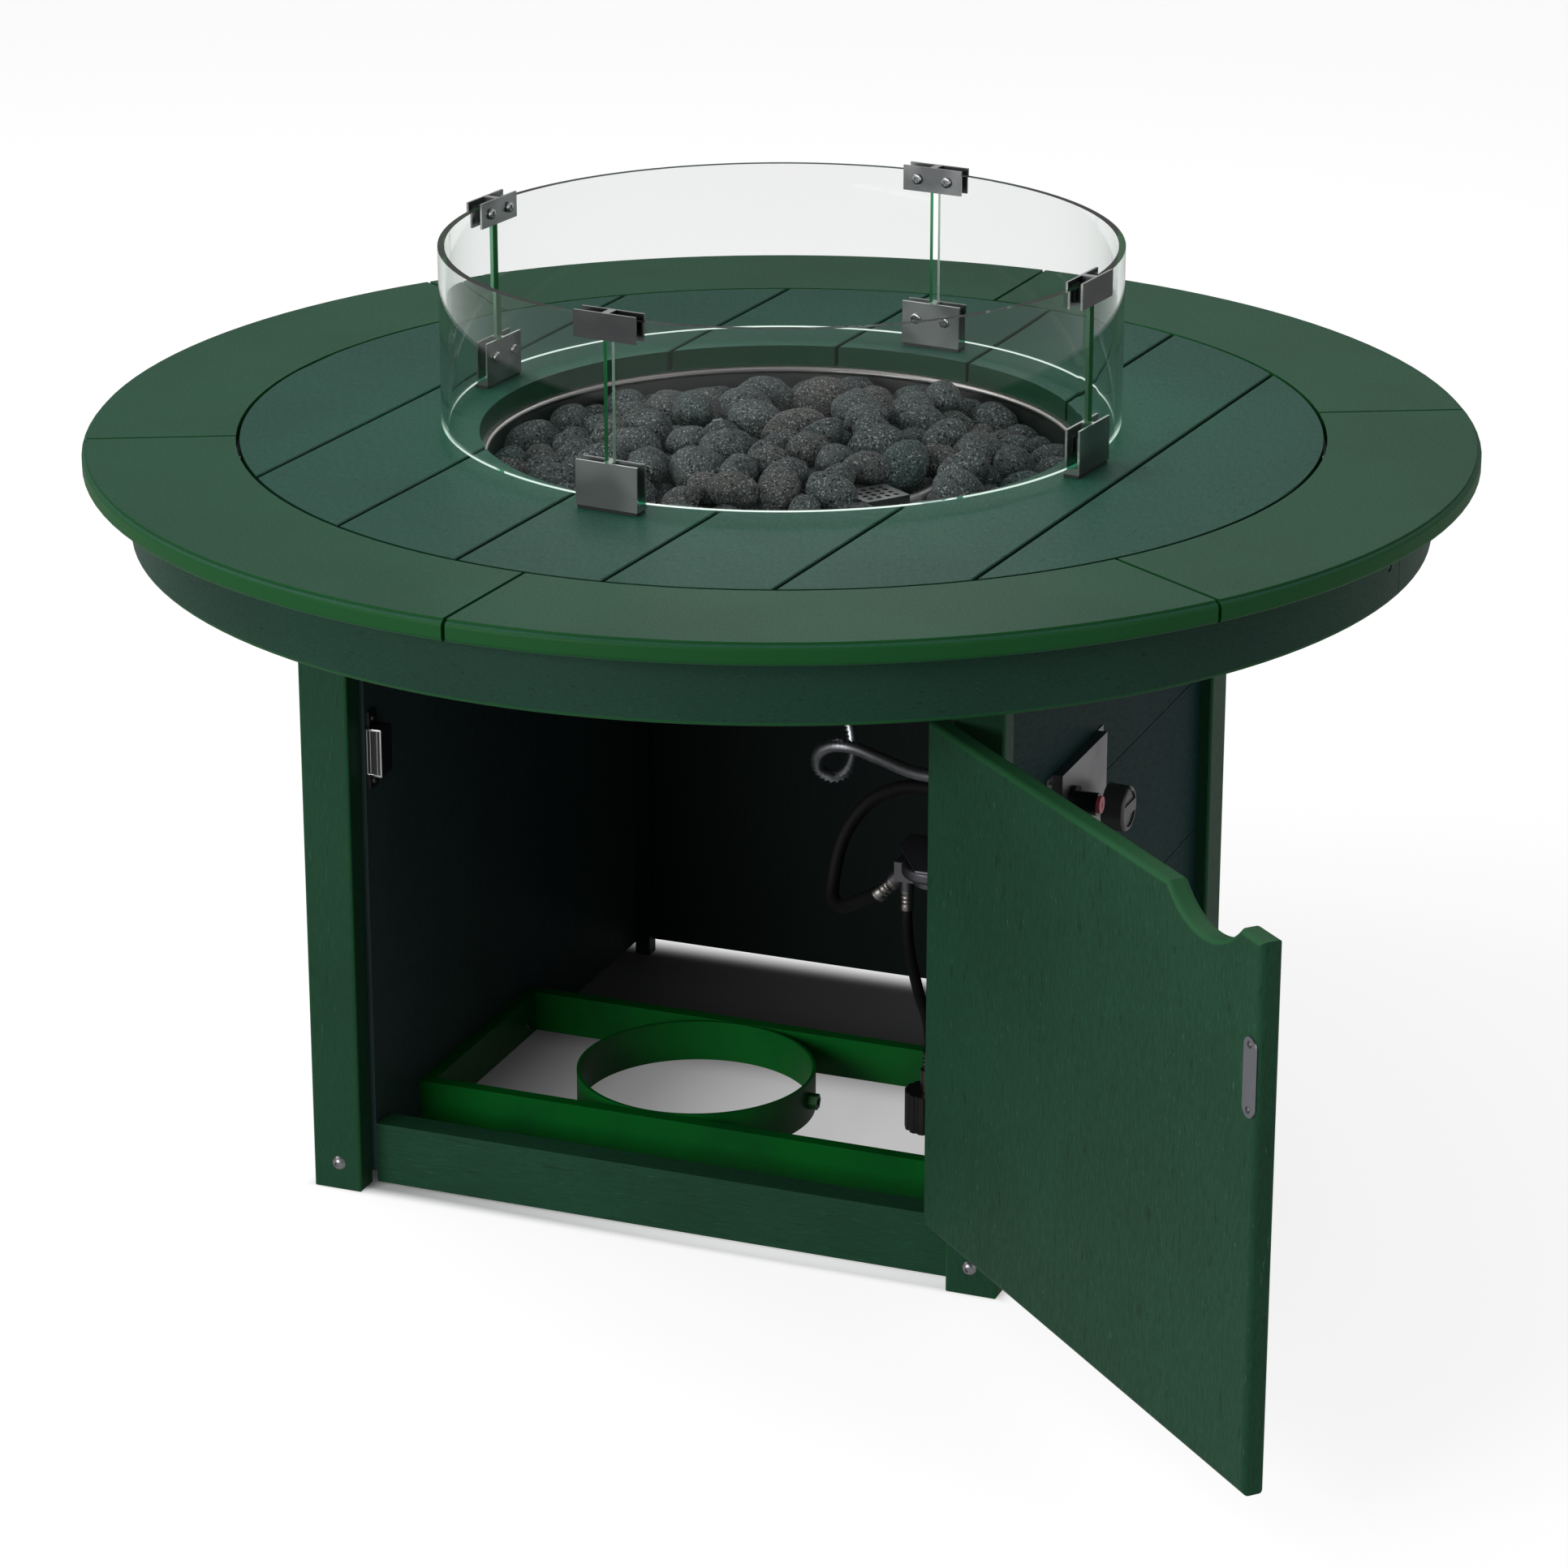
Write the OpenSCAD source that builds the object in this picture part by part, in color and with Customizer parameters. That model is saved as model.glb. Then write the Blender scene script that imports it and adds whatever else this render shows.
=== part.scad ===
// Round gas fire pit table in green recycled plastic boards.
// A slatted disc top carries a drop-in stainless burner pan with lava stones and a
// lift-off glass wind guard. The square cabinet below holds a gas cylinder behind one door.
// Millimetres, +Z up, floor at z = 0, origin on the table's axis, door at -Y, controls at +X.

/* [Table top] */
// Height of the walking surface of the top above the floor
table_h = 650; // [600:5:720]
// Radius of the round top
table_r = 610; // [590:5:640]
// Thickness of the top boards
board_t = 19; // [16:1:25]
// Width of the curved boards that make the rim
rim_board_w = 133; // [110:1:140]
// Extra width of the outermost planks over the others, before they are cut round
side_plank_extra = 11.5; // [0:0.5:20]
// Gap between neighbouring top boards
board_gap = 3.5; // [2:0.5:6]
// Turn of the whole board pattern about the table's axis
top_turn = -4.15; // [-15:0.05:15]
// Radius of the burner opening
opening_r = 265; // [255:1:268]
// Width of the small step at the top of the rim
rim_step_w = 4; // [2:0.5:6]
// Depth of that step
rim_step_d = 2; // [1:0.5:4]
// Rounding of the rim's outer edge
rim_round = 4; // [2:0.5:6]
// Chamfer on the planks' upper long edges
plank_chamfer = 1; // [0.5:0.1:2]

/* [Battens] */
// Width of the battens under the top
batten_w = 45; // [35:1:60]
// Thickness of the battens
batten_t = 25; // [19:1:38]
// Space between the burner pan's flange and the battens
batten_clear = 4; // [2:0.5:8]

/* [Apron] */
// Distance of the apron's outer face inside the top's edge
apron_inset = 40; // [30:1:50]
// Thickness of the apron
apron_t = 22; // [16:1:28]
// Height of the apron
apron_h = 63; // [50:1:80]
// Rounding of the apron's lower edges
apron_round = 4; // [2:0.5:7]
// Angle of the joint between the two halves of the apron
apron_seam = -3.3; // [-15:0.1:15]
// Gap at that joint
apron_gap = 1; // [0.5:0.1:2]
// Thickness of the block behind the joint
splice_t = 19; // [14:1:25]
// Height of that block
splice_h = 45; // [35:1:50]
// Angle covered by that block
splice_span = 10; // [8:0.5:14]
// Height of the joint's screws above the apron's lower edge
apron_screw_up = 33; // [25:1:45]

/* [Cabinet] */
// Outer width and depth of the cabinet over its posts
base_w = 640; // [620:5:660]
// Width of the posts
post_w = 46; // [40:1:60]
// Thickness of the posts
post_t = 25; // [19:1:28]
// Rounding of the posts' edges
post_round = 3; // [1:0.5:5]
// Distance from the side of the post to the face of the side boards
side_recess = 12; // [6:1:14]
// Thickness of the horizontal side boards
side_t = 25; // [19:1:28]
// Height of a full side board
side_board_h = 150; // [130:1:160]
// Height of the lowest, narrower side board
side_first_h = 55; // [40:1:80]
// Gap between the side boards
side_gap = 1; // [0.5:0.1:2]
// Height of the lower edge of the walls above the floor
wall_lift = 12; // [8:1:20]
// Thickness of the upright inner panels
inner_t = 13; // [10:1:16]
// Thickness of the rear panel
rear_t = 13; // [10:1:16]
// Side of the square cleats in the rear corners
cleat_w = 15; // [12:1:20]
// Height of the front bottom rail
rail_h = 56; // [45:1:60]
// Thickness of the front bottom rail
rail_t = 25; // [19:1:38]
// Height of the rail's lower edge above the floor
rail_lift = 2; // [1:0.5:5]
// Height of the rail above the door
head_h = 82; // [70:1:95]
// Radius of the button-head bolts in the front posts
bolt_r = 6.5; // [5:0.5:8]
// Height of those bolts above the floor
bolt_up = 25.5; // [20:0.5:35]
// Height of their heads
bolt_head_h = 3.5; // [2:0.5:5]

/* [Door] */
// Thickness of the door
door_t = 19; // [16:1:20]
// Distance of the door's face behind the face of the posts
door_recess = 4; // [3:0.5:5]
// Gap between the door and the hinge post
door_hinge_gap = 5; // [4.8:0.1:6]
// Gap between the door and the other post
door_free_gap = 7; // [4:0.5:9]
// Gap below the door, above the bottom rail
door_low_gap = 9; // [5:0.5:12]
// Gap above the door
door_top_gap = 8; // [5:0.5:12]
// Rounding of the door's edges
door_round = 5; // [2:0.5:6]
// Radius of the finger notch in the door's top edge
notch_r = 73; // [60:1:90]
// Depth of the finger notch
notch_d = 24; // [18:1:30]
// Distance from the door's free edge to the middle of the notch
notch_in = 86; // [80:1:120]
// Opening angle of the door as it stands
door_open = 136.75; // [0:0.05:180]

/* [Hinges and catch] */
// Length of each hinge
hinge_len = 64; // [50:1:80]
// Distance of each hinge from the end of the door
hinge_in = 70; // [40:1:110]
// Radius of the hinge knuckles
knuckle_r = 2.2; // [2:0.05:2.3]
// Radius of the hinge pins
pin_r = 1.1; // [0.9:0.05:1.3]
// Thickness of the hinge leaves
leaf_t = 1.5; // [1.2:0.1:1.7]
// Width of the hinge leaves
leaf_w = 17; // [14:0.5:18]
// Length of the strike plate
strike_h = 64; // [56:1:72]
// Width of the strike plate
strike_w = 17; // [15:0.5:20]
// Thickness of the strike plate
strike_t = 1.5; // [1:0.1:1.6]
// Distance from the door's free edge to the middle of the strike plate
strike_in = 10; // [9:0.5:12]
// Distance of the catch below the door's upper edge
catch_down = 109; // [76:1:216]
// Distance between the strike plate's screws
strike_pitch = 52; // [50:0.5:54]
// Height of the catch's magnet body
catch_h = 42; // [36:1:44]
// Width of the catch's body
catch_w = 15; // [12:0.5:18]
// Depth of the catch's body
catch_d = 22; // [18:1:30]
// Length of the catch's mounting tabs from end to end
catch_tab_h = 70; // [64:1:80]

/* [Cylinder support] */
// Thickness of the support frame's bars
bar_t = 12; // [10:0.5:16]
// Height of the bars
bar_h = 38; // [30:1:45]
// Height of the frame above the floor
bar_lift = 25; // [20:1:35]
// Distance between the front and the rear bar
bar_span = 217; // [214:0.5:225]
// Distance from the cabinet's front to the frame
bar_front = 115; // [105:1:125]
// Place of the ring from side to side
ring_x = -50; // [-80:5:0]
// Wall of the ring that takes the cylinder's foot
ring_t = 3; // [2:0.5:4]
// Width across the flats of the nut on the ring
nut_af = 13; // [12:0.5:16]
// Height of that nut
nut_h = 8; // [6:0.5:10]
// Radius of the nut's threaded hole
nut_bore_r = 3.4; // [3:0.1:4]
// Place of the nut round the ring
nut_turn = 3; // [-10:1:20]

/* [Gas controls] */
// Width and height of the raised control panel
box_w = 122; // [118:1:126]
// Height of the panel's face off the side boards
box_proud = 10; // [8:0.5:12]
// Thickness of the panel's sheet steel
sheet_t = 1.2; // [1:0.1:1.5]
// Width of the panel's flanges
flange_w = 16; // [14:0.5:18]
// Distance from the front of the cabinet to the panel
box_front = 160; // [155:1:170]
// Height of the panel's upper edge above the floor
box_top = 417; // [410:1:430]
// Distance of the knob from the panel's rear edge
knob_in = 32; // [30:1:34]
// Distance of the knob below the panel's upper edge
knob_down = 56; // [54:1:60]
// Radius of the gas knob
knob_r = 21; // [18:0.5:22]
// Depth of the gas knob
knob_d = 20; // [18:0.5:22]
// Space between the panel and the knob
knob_off = 12; // [10:0.5:14]
// Push of the knob that opens the gas valve
knob_push = 3; // [2:0.5:4]
// Radius of the valve stem
stem_r = 4; // [3.5:0.1:4.5]
// Distance of the igniter from the panel's front edge
igniter_in = 26; // [25:1:28]
// Distance of the igniter below the panel's upper edge
igniter_down = 31; // [29:1:34]
// Radius of the igniter's barrel
barrel_r = 10; // [9:0.5:11]
// Length of the barrel outside the panel
barrel_len = 24; // [20:0.5:26]
// Radius of the igniter's button
button_r = 7.5; // [6.5:0.1:8]
// Travel of the igniter's button
button_push = 4; // [3:0.5:4.5]

/* [Gas line] */
// Diameter of the corrugated connector over its ribs
flex_d = 10; // [9:0.1:10.5]
// Depth of the ribs
rib_d = 1; // [0.7:0.1:1.2]
// Number of ribs
rib_count = 150; // [100:1:180]
// Diameter of the connector's bore
flex_bore_d = 6; // [5:0.1:6.5]
// Diameter of the rubber hose between regulator and valve
hose_d = 13; // [11:0.5:14]
// Diameter of the rubber hose down to the cylinder coupling
pigtail_d = 10; // [8:0.5:11]
// Radius of the regulator's round body
reg_r = 30; // [28:0.5:31]
// Radius of the coupling's handwheel
wheel_r = 22; // [21:0.5:24]
// Height of the handwheel
wheel_h = 36; // [34:1:40]
// Radius of the coupling's thread
wheel_thread_r = 16.7; // [15:0.1:17.5]
// Depth of the coupling's thread
wheel_thread_d = 18; // [16:0.5:19]

/* [Burner] */
// Radius of the burner pan's flange under the boards
pan_flange_r = 288; // [280:1:290]
// Radius of the pan's wall
pan_r = 262; // [256:1:264]
// Depth of the pan below the boards
pan_depth = 41; // [40:1:50]
// Thickness of the pan's sheet
pan_t = 1.5; // [1:0.1:2]
// Radius of the rolled bead at the pan's rim
bead_r = 3; // [2:0.5:3]
// Radius of the ring burner
burner_r = 149; // [146:1:151]
// Radius of the burner's tube
burner_tube_r = 9.5; // [8:0.5:9.5]
// Height of the burner's tube above the pan's floor
burner_up = 6.5; // [5:0.5:8]
// Number of gas ports in the ring
port_count = 24; // [12:1:36]
// Direction of the burner's cross tube
cross_turn = -65; // [-75:1:-55]
// Width of the igniter's perforated shroud
shroud_w = 44; // [40:1:48]
// Length of the shroud across the burner tube
shroud_len = 40; // [38:1:42]
// Direction of the shroud
shroud_turn = -36; // [-40:1:-32]
// Size of a large lava stone from end to end
stone_d = 56; // [48:1:58]

/* [Wind guard] */
// Radius of the glass wall at its middle
glass_r = 295; // [290:1:320]
// Thickness of the glass
glass_t = 6; // [5:0.5:8]
// Height of the glass
glass_h = 155; // [120:5:200]
// Gap between neighbouring glass panels
glass_gap = 8; // [6:0.5:10]
// Turn of the glass panels about the table's axis
guard_turn = -97.2; // [-120:0.1:-60]
// Width of the clips
clip_w = 59; // [50:1:66]
// Thickness of the clips' plates
clip_t = 2; // [1.5:0.1:2.5]
// Height of the lower clips
low_clip_h = 39; // [34:1:44]
// Height of the upper clips
top_clip_h = 23; // [20:1:26]
// Rise of the upper clips over the glass
clip_rise = 5; // [2:0.5:6]
// Space between the glass and the clips' plates
clip_space = 3; // [2.8:0.1:3.5]
// Thickness of the rubber foot below each lower clip
foot_t = 3; // [2:0.5:4]
// Distance between a clip's two screws
clip_screw_pitch = 30; // [24:1:34]

/* [Colours] */
// Colour of the top boards
top_colour = "#3c5a4c"; // ["#3c5a4c", "#4a4f55"]
// Colour of the cabinet's boards
wood_colour = "#1e4a2c"; // ["#1e4a2c", "#3a3f45"]
// Colour of the cylinder support
frame_colour = "#064a14"; // ["#064a14", "#202020"]

/* [Hidden] */
$fn = 64;

// Overrun of every cut past the surface it leaves
cut = 2;
// Running clearance of pins and stems in their bores
run_fit = 0.05;
// Seat clearance between pieces that lift off each other
seat_gap = 0.2;
// Colours of the metal, rubber, glass and stone pieces
steel = "#b8bcc0";
dark_steel = "#6c7074";
black = "#101012";
glass_colour = "#9fc8b4";
stone_colour = "#5a6063";
red = "#d0606c";

// Heights worked out from the table's height
top_low = table_h - board_t;
base_top = top_low - batten_t;
apron_low = top_low - apron_h;
pan_floor = top_low - pan_depth;
// Radii of the top's rings
rim_in_r = table_r - rim_board_w;
field_r = rim_in_r - board_gap;
plank_count = 7;
plank_gaps = (plank_count - 1) * board_gap;
plank_w = (2 * (field_r - side_plank_extra) - plank_gaps) / plank_count;
plank_pitch = plank_w + board_gap;
apron_r = table_r - apron_inset;
// Cabinet faces
half_w = base_w / 2;
post_in_x = half_w - post_w;
reveal_y = -half_w + post_t;
side_x = half_w - side_recess;
side_in_x = side_x - side_t;
wall_in_x = side_in_x - inner_t;
rear_in_y = half_w - rear_t;
rear_post_y = half_w - post_w;
rail_top = rail_lift + rail_h;
head_low = base_top - head_h;
// Door faces
door_x0 = -post_in_x + door_free_gap;
door_x1 = post_in_x - door_hinge_gap;
door_w = door_x1 - door_x0;
door_y0 = -half_w + door_recess;
door_y1 = door_y0 + door_t;
door_z0 = rail_top + door_low_gap;
door_z1 = head_low - door_top_gap;
door_h = door_z1 - door_z0;
catch_z = door_z1 - catch_down;
// Hinge axis: the middle of the hinge gap, half a gap before the door's face
hinge_x = post_in_x - door_hinge_gap / 2;
hinge_y = door_y0 - door_hinge_gap / 2;
knuckles = 5;
knuckle_space = 0.3;
pin_head_r = 1.7;
pin_head_h = 0.8;
// Cylinder support
ring_fit = 0.1;
ring_r = bar_span / 2 - ring_fit;
ring_y = -half_w + bar_front + bar_t + bar_span / 2;
bar_y0 = -half_w + bar_front;
// Small screws
screw_r = 4;
screw_h = 2.2;
low_head_r = 3;
low_head_h = 1.4;
// Control panel
panel_x = side_x + box_proud;
panel_y0 = box_front - half_w;
panel_y1 = panel_y0 + box_w;
panel_z0 = box_top - box_w;
wall_hole_in = 8;
wall_hole_low = 27;
wall_hole_top = 15;
knob_y = panel_y1 - knob_in;
knob_z = box_top - knob_down;
knob_x = panel_x + knob_off;
ign_y = panel_y0 + igniter_in;
ign_z = box_top - igniter_down;
stem_hole_space = 1.5;

function polar(r, a) = [r * cos(a), r * sin(a)];

// A rectangle with four round corners, its lower left corner at the origin
module round_rect(w, h, r) {
    translate([r, 0]) square([w - 2 * r, h]);
    translate([0, r]) square([w, h - 2 * r]);
    for (x = [r, w - r], y = [r, h - r]) translate([x, y]) circle(r);
}

// A ring of a rectangular section
module band(r0, r1, z0, z1) {
    rotate_extrude($fn = 180) translate([r0, z0]) square([r1 - r0, z1 - z0]);
}

// A domed screw head that stands on z = 0
module dome_head(r, h) {
    ball = (r * r + h * h) / (2 * h);
    intersection() {
        translate([0, 0, h - ball]) sphere(ball);
        cylinder(r = r, h = h);
    }
}

// A hexagonal prism by its width across the flats
module hex(af, h) {
    intersection_for(a = [0, 60, 120]) rotate(a)
        translate([-af / 2, -af, 0]) cube([af, 2 * af, h]);
}

// Table top
module rim_profile() {
    translate([rim_in_r, top_low]) {
        square([rim_board_w - rim_step_w, board_t]);
        round_rect(rim_board_w, board_t - rim_step_d, rim_round);
        square([rim_board_w / 2, board_t - rim_step_d]);
    }
}

module rim_boards() color(top_colour) rotate(top_turn) difference() {
    rotate_extrude($fn = 180) rim_profile();
    for (a = [30, 90, 150]) rotate(a)
        translate([-table_r - cut, -board_gap / 2, top_low - cut])
            cube([2 * (table_r + cut), board_gap, board_t + 2 * cut]);
}

// One plank of the field; the outermost ones run out to the round joint
module top_plank(i) {
    x0 = i == -3 ? -field_r : i * plank_pitch - plank_w / 2;
    x1 = i == 3 ? field_r : i * plank_pitch + plank_w / 2;
    c = plank_chamfer;
    color(top_colour) rotate(top_turn) difference() {
        intersection() {
            rotate([90, 0, 0]) linear_extrude(2 * field_r, center = true)
                polygon([[x0, top_low], [x1, top_low], [x1, table_h - c], [x1 - c, table_h],
                    [x0 + c, table_h], [x0, table_h - c]]);
            translate([0, 0, top_low]) cylinder(r = field_r, h = board_t, $fn = 180);
        }
        translate([0, 0, top_low - cut]) cylinder(r = opening_r, h = board_t + 2 * cut, $fn = 180);
    }
}

module top_plank_1() top_plank(-3);
module top_plank_2() top_plank(-2);
module top_plank_3() top_plank(-1);
module top_plank_4() top_plank(0);
module top_plank_5() top_plank(1);
module top_plank_6() top_plank(2);
module top_plank_7() top_plank(3);

// Four battens, halved where they cross, with ends cut round against the apron
apron_in_r = apron_r - apron_t;
batten_in = pan_flange_r + batten_clear;
// Clearance in the halved joints
lap_fit = 0.15;

module batten_blank(z0, z1, side, fit) {
    translate([-apron_in_r, (side > 0 ? batten_in : -batten_in - batten_w) - fit, z0])
        cube([2 * apron_in_r, batten_w + 2 * fit, z1 - z0]);
}

module battens() color(wood_colour) intersection() {
    union() {
        for (s = [-1, 1]) difference() {
            batten_blank(base_top, top_low, s, 0);
            for (q = [-1, 1]) rotate(90)
                batten_blank(base_top + batten_t / 2, top_low + cut, q, lap_fit);
        }
        for (s = [-1, 1]) rotate(90) difference() {
            batten_blank(base_top, top_low, s, 0);
            for (q = [-1, 1]) rotate(-90)
                batten_blank(base_top - cut, base_top + batten_t / 2 + lap_fit, q, lap_fit);
        }
    }
    translate([0, 0, base_top]) cylinder(r = apron_in_r, h = batten_t, $fn = 180);
}

// Apron in two half rings
module apron_profile() {
    translate([apron_in_r, apron_low]) {
        round_rect(apron_t, apron_h, apron_round);
        translate([0, apron_h / 2]) square([apron_t, apron_h / 2]);
    }
}

module apron_screw_places() {
    for (side = [0, 180], q = [-1, 1]) rotate(apron_seam + side + q * splice_span / 4)
        translate([apron_r, 0, apron_low + apron_screw_up]) rotate([0, 90, 0]) children();
}
screw_shank_r = 1.9;
screw_hole_r = 2;
screw_sink = 4;
screw_grip = 12;

module apron_half(side) color(wood_colour) difference() {
    intersection() {
        rotate_extrude($fn = 180) apron_profile();
        rotate(apron_seam + side) translate([-apron_r - cut, -apron_r - cut, apron_low - cut])
            cube([2 * (apron_r + cut), apron_r + cut - apron_gap / 2, apron_h + 2 * cut]);
    }
    apron_screw_places() {
        translate([0, 0, -screw_sink]) cylinder(r = screw_r + seat_gap, h = screw_sink + cut);
        translate([0, 0, -apron_t - cut]) cylinder(r = screw_hole_r, h = apron_t + 2 * cut);
    }
}
module apron_front() apron_half(0);
module apron_back() apron_half(180);

module apron_splice_blocks() color(wood_colour) difference() {
    for (side = [0, 180]) rotate(apron_seam + side - splice_span / 2)
        rotate_extrude(angle = splice_span, $fn = 180)
            translate([apron_in_r - splice_t, top_low - splice_h]) square([splice_t, splice_h]);
    apron_screw_places() translate([0, 0, -apron_t - screw_grip])
        cylinder(r = screw_hole_r, h = apron_t + screw_grip);
}

module apron_screws() color(dark_steel) apron_screw_places() {
    translate([0, 0, -screw_sink]) dome_head(screw_r, screw_sink - seat_gap);
    translate([0, 0, -apron_t - screw_grip + seat_gap])
        cylinder(r = screw_shank_r, h = apron_t + screw_grip - screw_sink);
}

// Posts: upright edges and feet are round
module post(w, d) {
    r = post_round;
    intersection() {
        linear_extrude(base_top) round_rect(w, d, r);
        translate([0, d, 0]) rotate([90, 0, 0]) linear_extrude(d)
            round_rect(w, base_top + 2 * r, r);
        rotate([90, 0, 90]) linear_extrude(w) round_rect(d, base_top + 2 * r, r);
    }
}
module front_post_right() color(wood_colour) translate([post_in_x, -half_w, 0]) post(post_w, post_t);
module front_post_left() color(wood_colour) translate([-half_w, -half_w, 0]) post(post_w, post_t);
module rear_post_right() color(wood_colour) translate([half_w - post_t, rear_post_y, 0])
    post(post_t, post_w);
module rear_post_left() color(wood_colour) translate([-half_w, rear_post_y, 0])
    post(post_t, post_w);

module post_bolts() color(dark_steel) for (s = [-1, 1])
    translate([s * (half_w - post_w / 2 - post_round / 2), -half_w, bolt_up]) rotate([90, 0, 0])
        difference() {
            dome_head(bolt_r, bolt_head_h);
            translate([0, 0, bolt_head_h / 2]) hex(bolt_r * 0.7, bolt_head_h);
        }

// Side walls: horizontal boards outside, one upright panel inside
side_first_z = wall_lift + side_first_h;
side_pitch = side_board_h + side_gap;
side_rows = ceil((base_top - side_first_z) / side_pitch);

module wall_hole(x0, x1) {
    translate([x0 - cut, panel_y0 + wall_hole_in, panel_z0 + wall_hole_low])
        cube([x1 - x0 + 2 * cut, box_w - 2 * wall_hole_in, box_w - wall_hole_low - wall_hole_top]);
}

module side_boards() for (i = [0:side_rows]) {
    z0 = i == 0 ? wall_lift : side_first_z + (i - 1) * side_pitch + side_gap;
    z1 = min(base_top, side_first_z + i * side_pitch);
    if (z1 > z0 + side_gap) translate([side_in_x, reveal_y, z0])
        cube([side_t, rear_post_y - reveal_y, z1 - z0]);
}
module side_boards_right() color(wood_colour) difference() {
    side_boards();
    wall_hole(side_in_x, side_x);
}
module side_boards_left() color(wood_colour) mirror([1, 0, 0]) side_boards();

module inner_panel() translate([wall_in_x, reveal_y, wall_lift])
    cube([inner_t, rear_in_y - reveal_y, base_top - wall_lift]);
module inner_panel_right() color(wood_colour) difference() {
    inner_panel();
    wall_hole(wall_in_x, side_in_x);
}
module inner_panel_left() color(wood_colour) mirror([1, 0, 0]) inner_panel();

module rear_panel() color(wood_colour) translate([-half_w + post_t, rear_in_y, wall_lift])
    cube([base_w - 2 * post_t, rear_t, base_top - wall_lift]);

module rear_corner_cleats() color(wood_colour) for (s = [-1, 1])
    translate([s > 0 ? wall_in_x - cleat_w : -wall_in_x, rear_in_y - cleat_w, 0])
        cube([cleat_w, cleat_w, base_top]);

module bottom_rail() color(wood_colour) translate([-wall_in_x, reveal_y + rail_t, rail_lift])
    rotate([90, 0, 0]) linear_extrude(rail_t) square([2 * wall_in_x, rail_h]);

module top_rail() color(wood_colour) translate([-post_in_x, -half_w, head_low])
    cube([2 * post_in_x, post_t, head_h]);

// Door, drawn closed and turned open about its hinge
module door_place() {
    translate([hinge_x, hinge_y, 0]) rotate(door_open) translate([-hinge_x, -hinge_y, 0]) children();
}

module notch_cutter() {
    f = door_round;
    rotate_extrude($fn = 128) difference() {
        translate([0, -cut]) square([notch_r + f, door_t + 2 * cut]);
        translate([notch_r, f]) square([f + cut, door_t - 2 * f]);
        for (y = [f, door_t - f]) translate([notch_r + f, y]) circle(f);
    }
}

module door() color(wood_colour) door_place() difference() {
    intersection() {
        translate([door_x0, door_y0, door_z0]) linear_extrude(door_h)
            round_rect(door_w, door_t, door_round);
        translate([door_x0, door_y0, door_z0]) rotate([90, 0, 90]) linear_extrude(door_w)
            round_rect(door_t, door_h, door_round);
    }
    translate([door_x0 + notch_in, door_y1, door_z1 - notch_d + notch_r]) rotate([90, 0, 0])
        notch_cutter();
}

// Hinges
module knuckle(k, r) {
    step = hinge_len / knuckles;
    translate([hinge_x, hinge_y, k * step + knuckle_space / 2])
        cylinder(r = r, h = step - knuckle_space, $fn = 32);
}

module leaf(x, ks, gaps) difference() {
    union() {
        translate([x, hinge_y, 0]) cube([leaf_t, leaf_w, hinge_len]);
        for (k = ks) knuckle(k, knuckle_r);
    }
    for (k = gaps) translate([hinge_x - 2 * knuckle_r, hinge_y - 2 * knuckle_r,
        k * hinge_len / knuckles - knuckle_space / 2])
        cube([4 * knuckle_r, 3 * knuckle_r + knuckle_space, hinge_len / knuckles + knuckle_space]);
    translate([hinge_x, hinge_y, -cut]) cylinder(r = pin_r + run_fit, h = hinge_len + 2 * cut, $fn = 32);
}

module at_hinges() {
    for (z = [door_z0 + hinge_in, door_z1 - hinge_in - hinge_len]) translate([0, 0, z]) children();
}

module hinge_post_leaves() color(steel) at_hinges()
    leaf(post_in_x - leaf_t, [0, 2, 4], [1, 3]);
module hinge_door_leaves() color(steel) door_place() at_hinges() leaf(door_x1, [1, 3], [0, 2, 4]);
module hinge_pins() color(steel) at_hinges() translate([hinge_x, hinge_y, 0]) {
    cylinder(r = pin_r, h = hinge_len, $fn = 32);
    for (z = [-pin_head_h, hinge_len]) translate([0, 0, z])
        cylinder(r = pin_head_r, h = pin_head_h, $fn = 32);
}

// Strike plate on the door and magnetic catch on the cabinet
strike_x = door_x0 + strike_in;
module strike_plate() color(steel) door_place()
    translate([strike_x, door_y1 + strike_t, catch_z]) rotate([90, 0, 0]) difference() {
        linear_extrude(strike_t) translate([-strike_w / 2, -strike_h / 2])
            round_rect(strike_w, strike_h, strike_w / 2 - seat_gap);
        for (s = [-1, 1]) translate([0, s * strike_pitch / 2, -cut])
            cylinder(r = screw_hole_r, h = strike_t + 2 * cut);
    }

module strike_screws() color(steel) door_place() for (s = [-1, 1])
    translate([strike_x, door_y1 + strike_t, catch_z + s * strike_pitch / 2]) rotate([-90, 0, 0]) {
        dome_head(low_head_r, low_head_h);
        translate([0, 0, -strike_t]) cylinder(r = screw_shank_r, h = strike_t);
    }

module door_catch() color(black) translate([-wall_in_x, reveal_y, catch_z]) {
    translate([0, 0, -catch_h / 2]) cube([catch_w, catch_d, catch_h]);
    translate([0, catch_w / 4, -catch_tab_h / 2]) cube([catch_w / 5, catch_w, catch_tab_h]);
}

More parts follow.
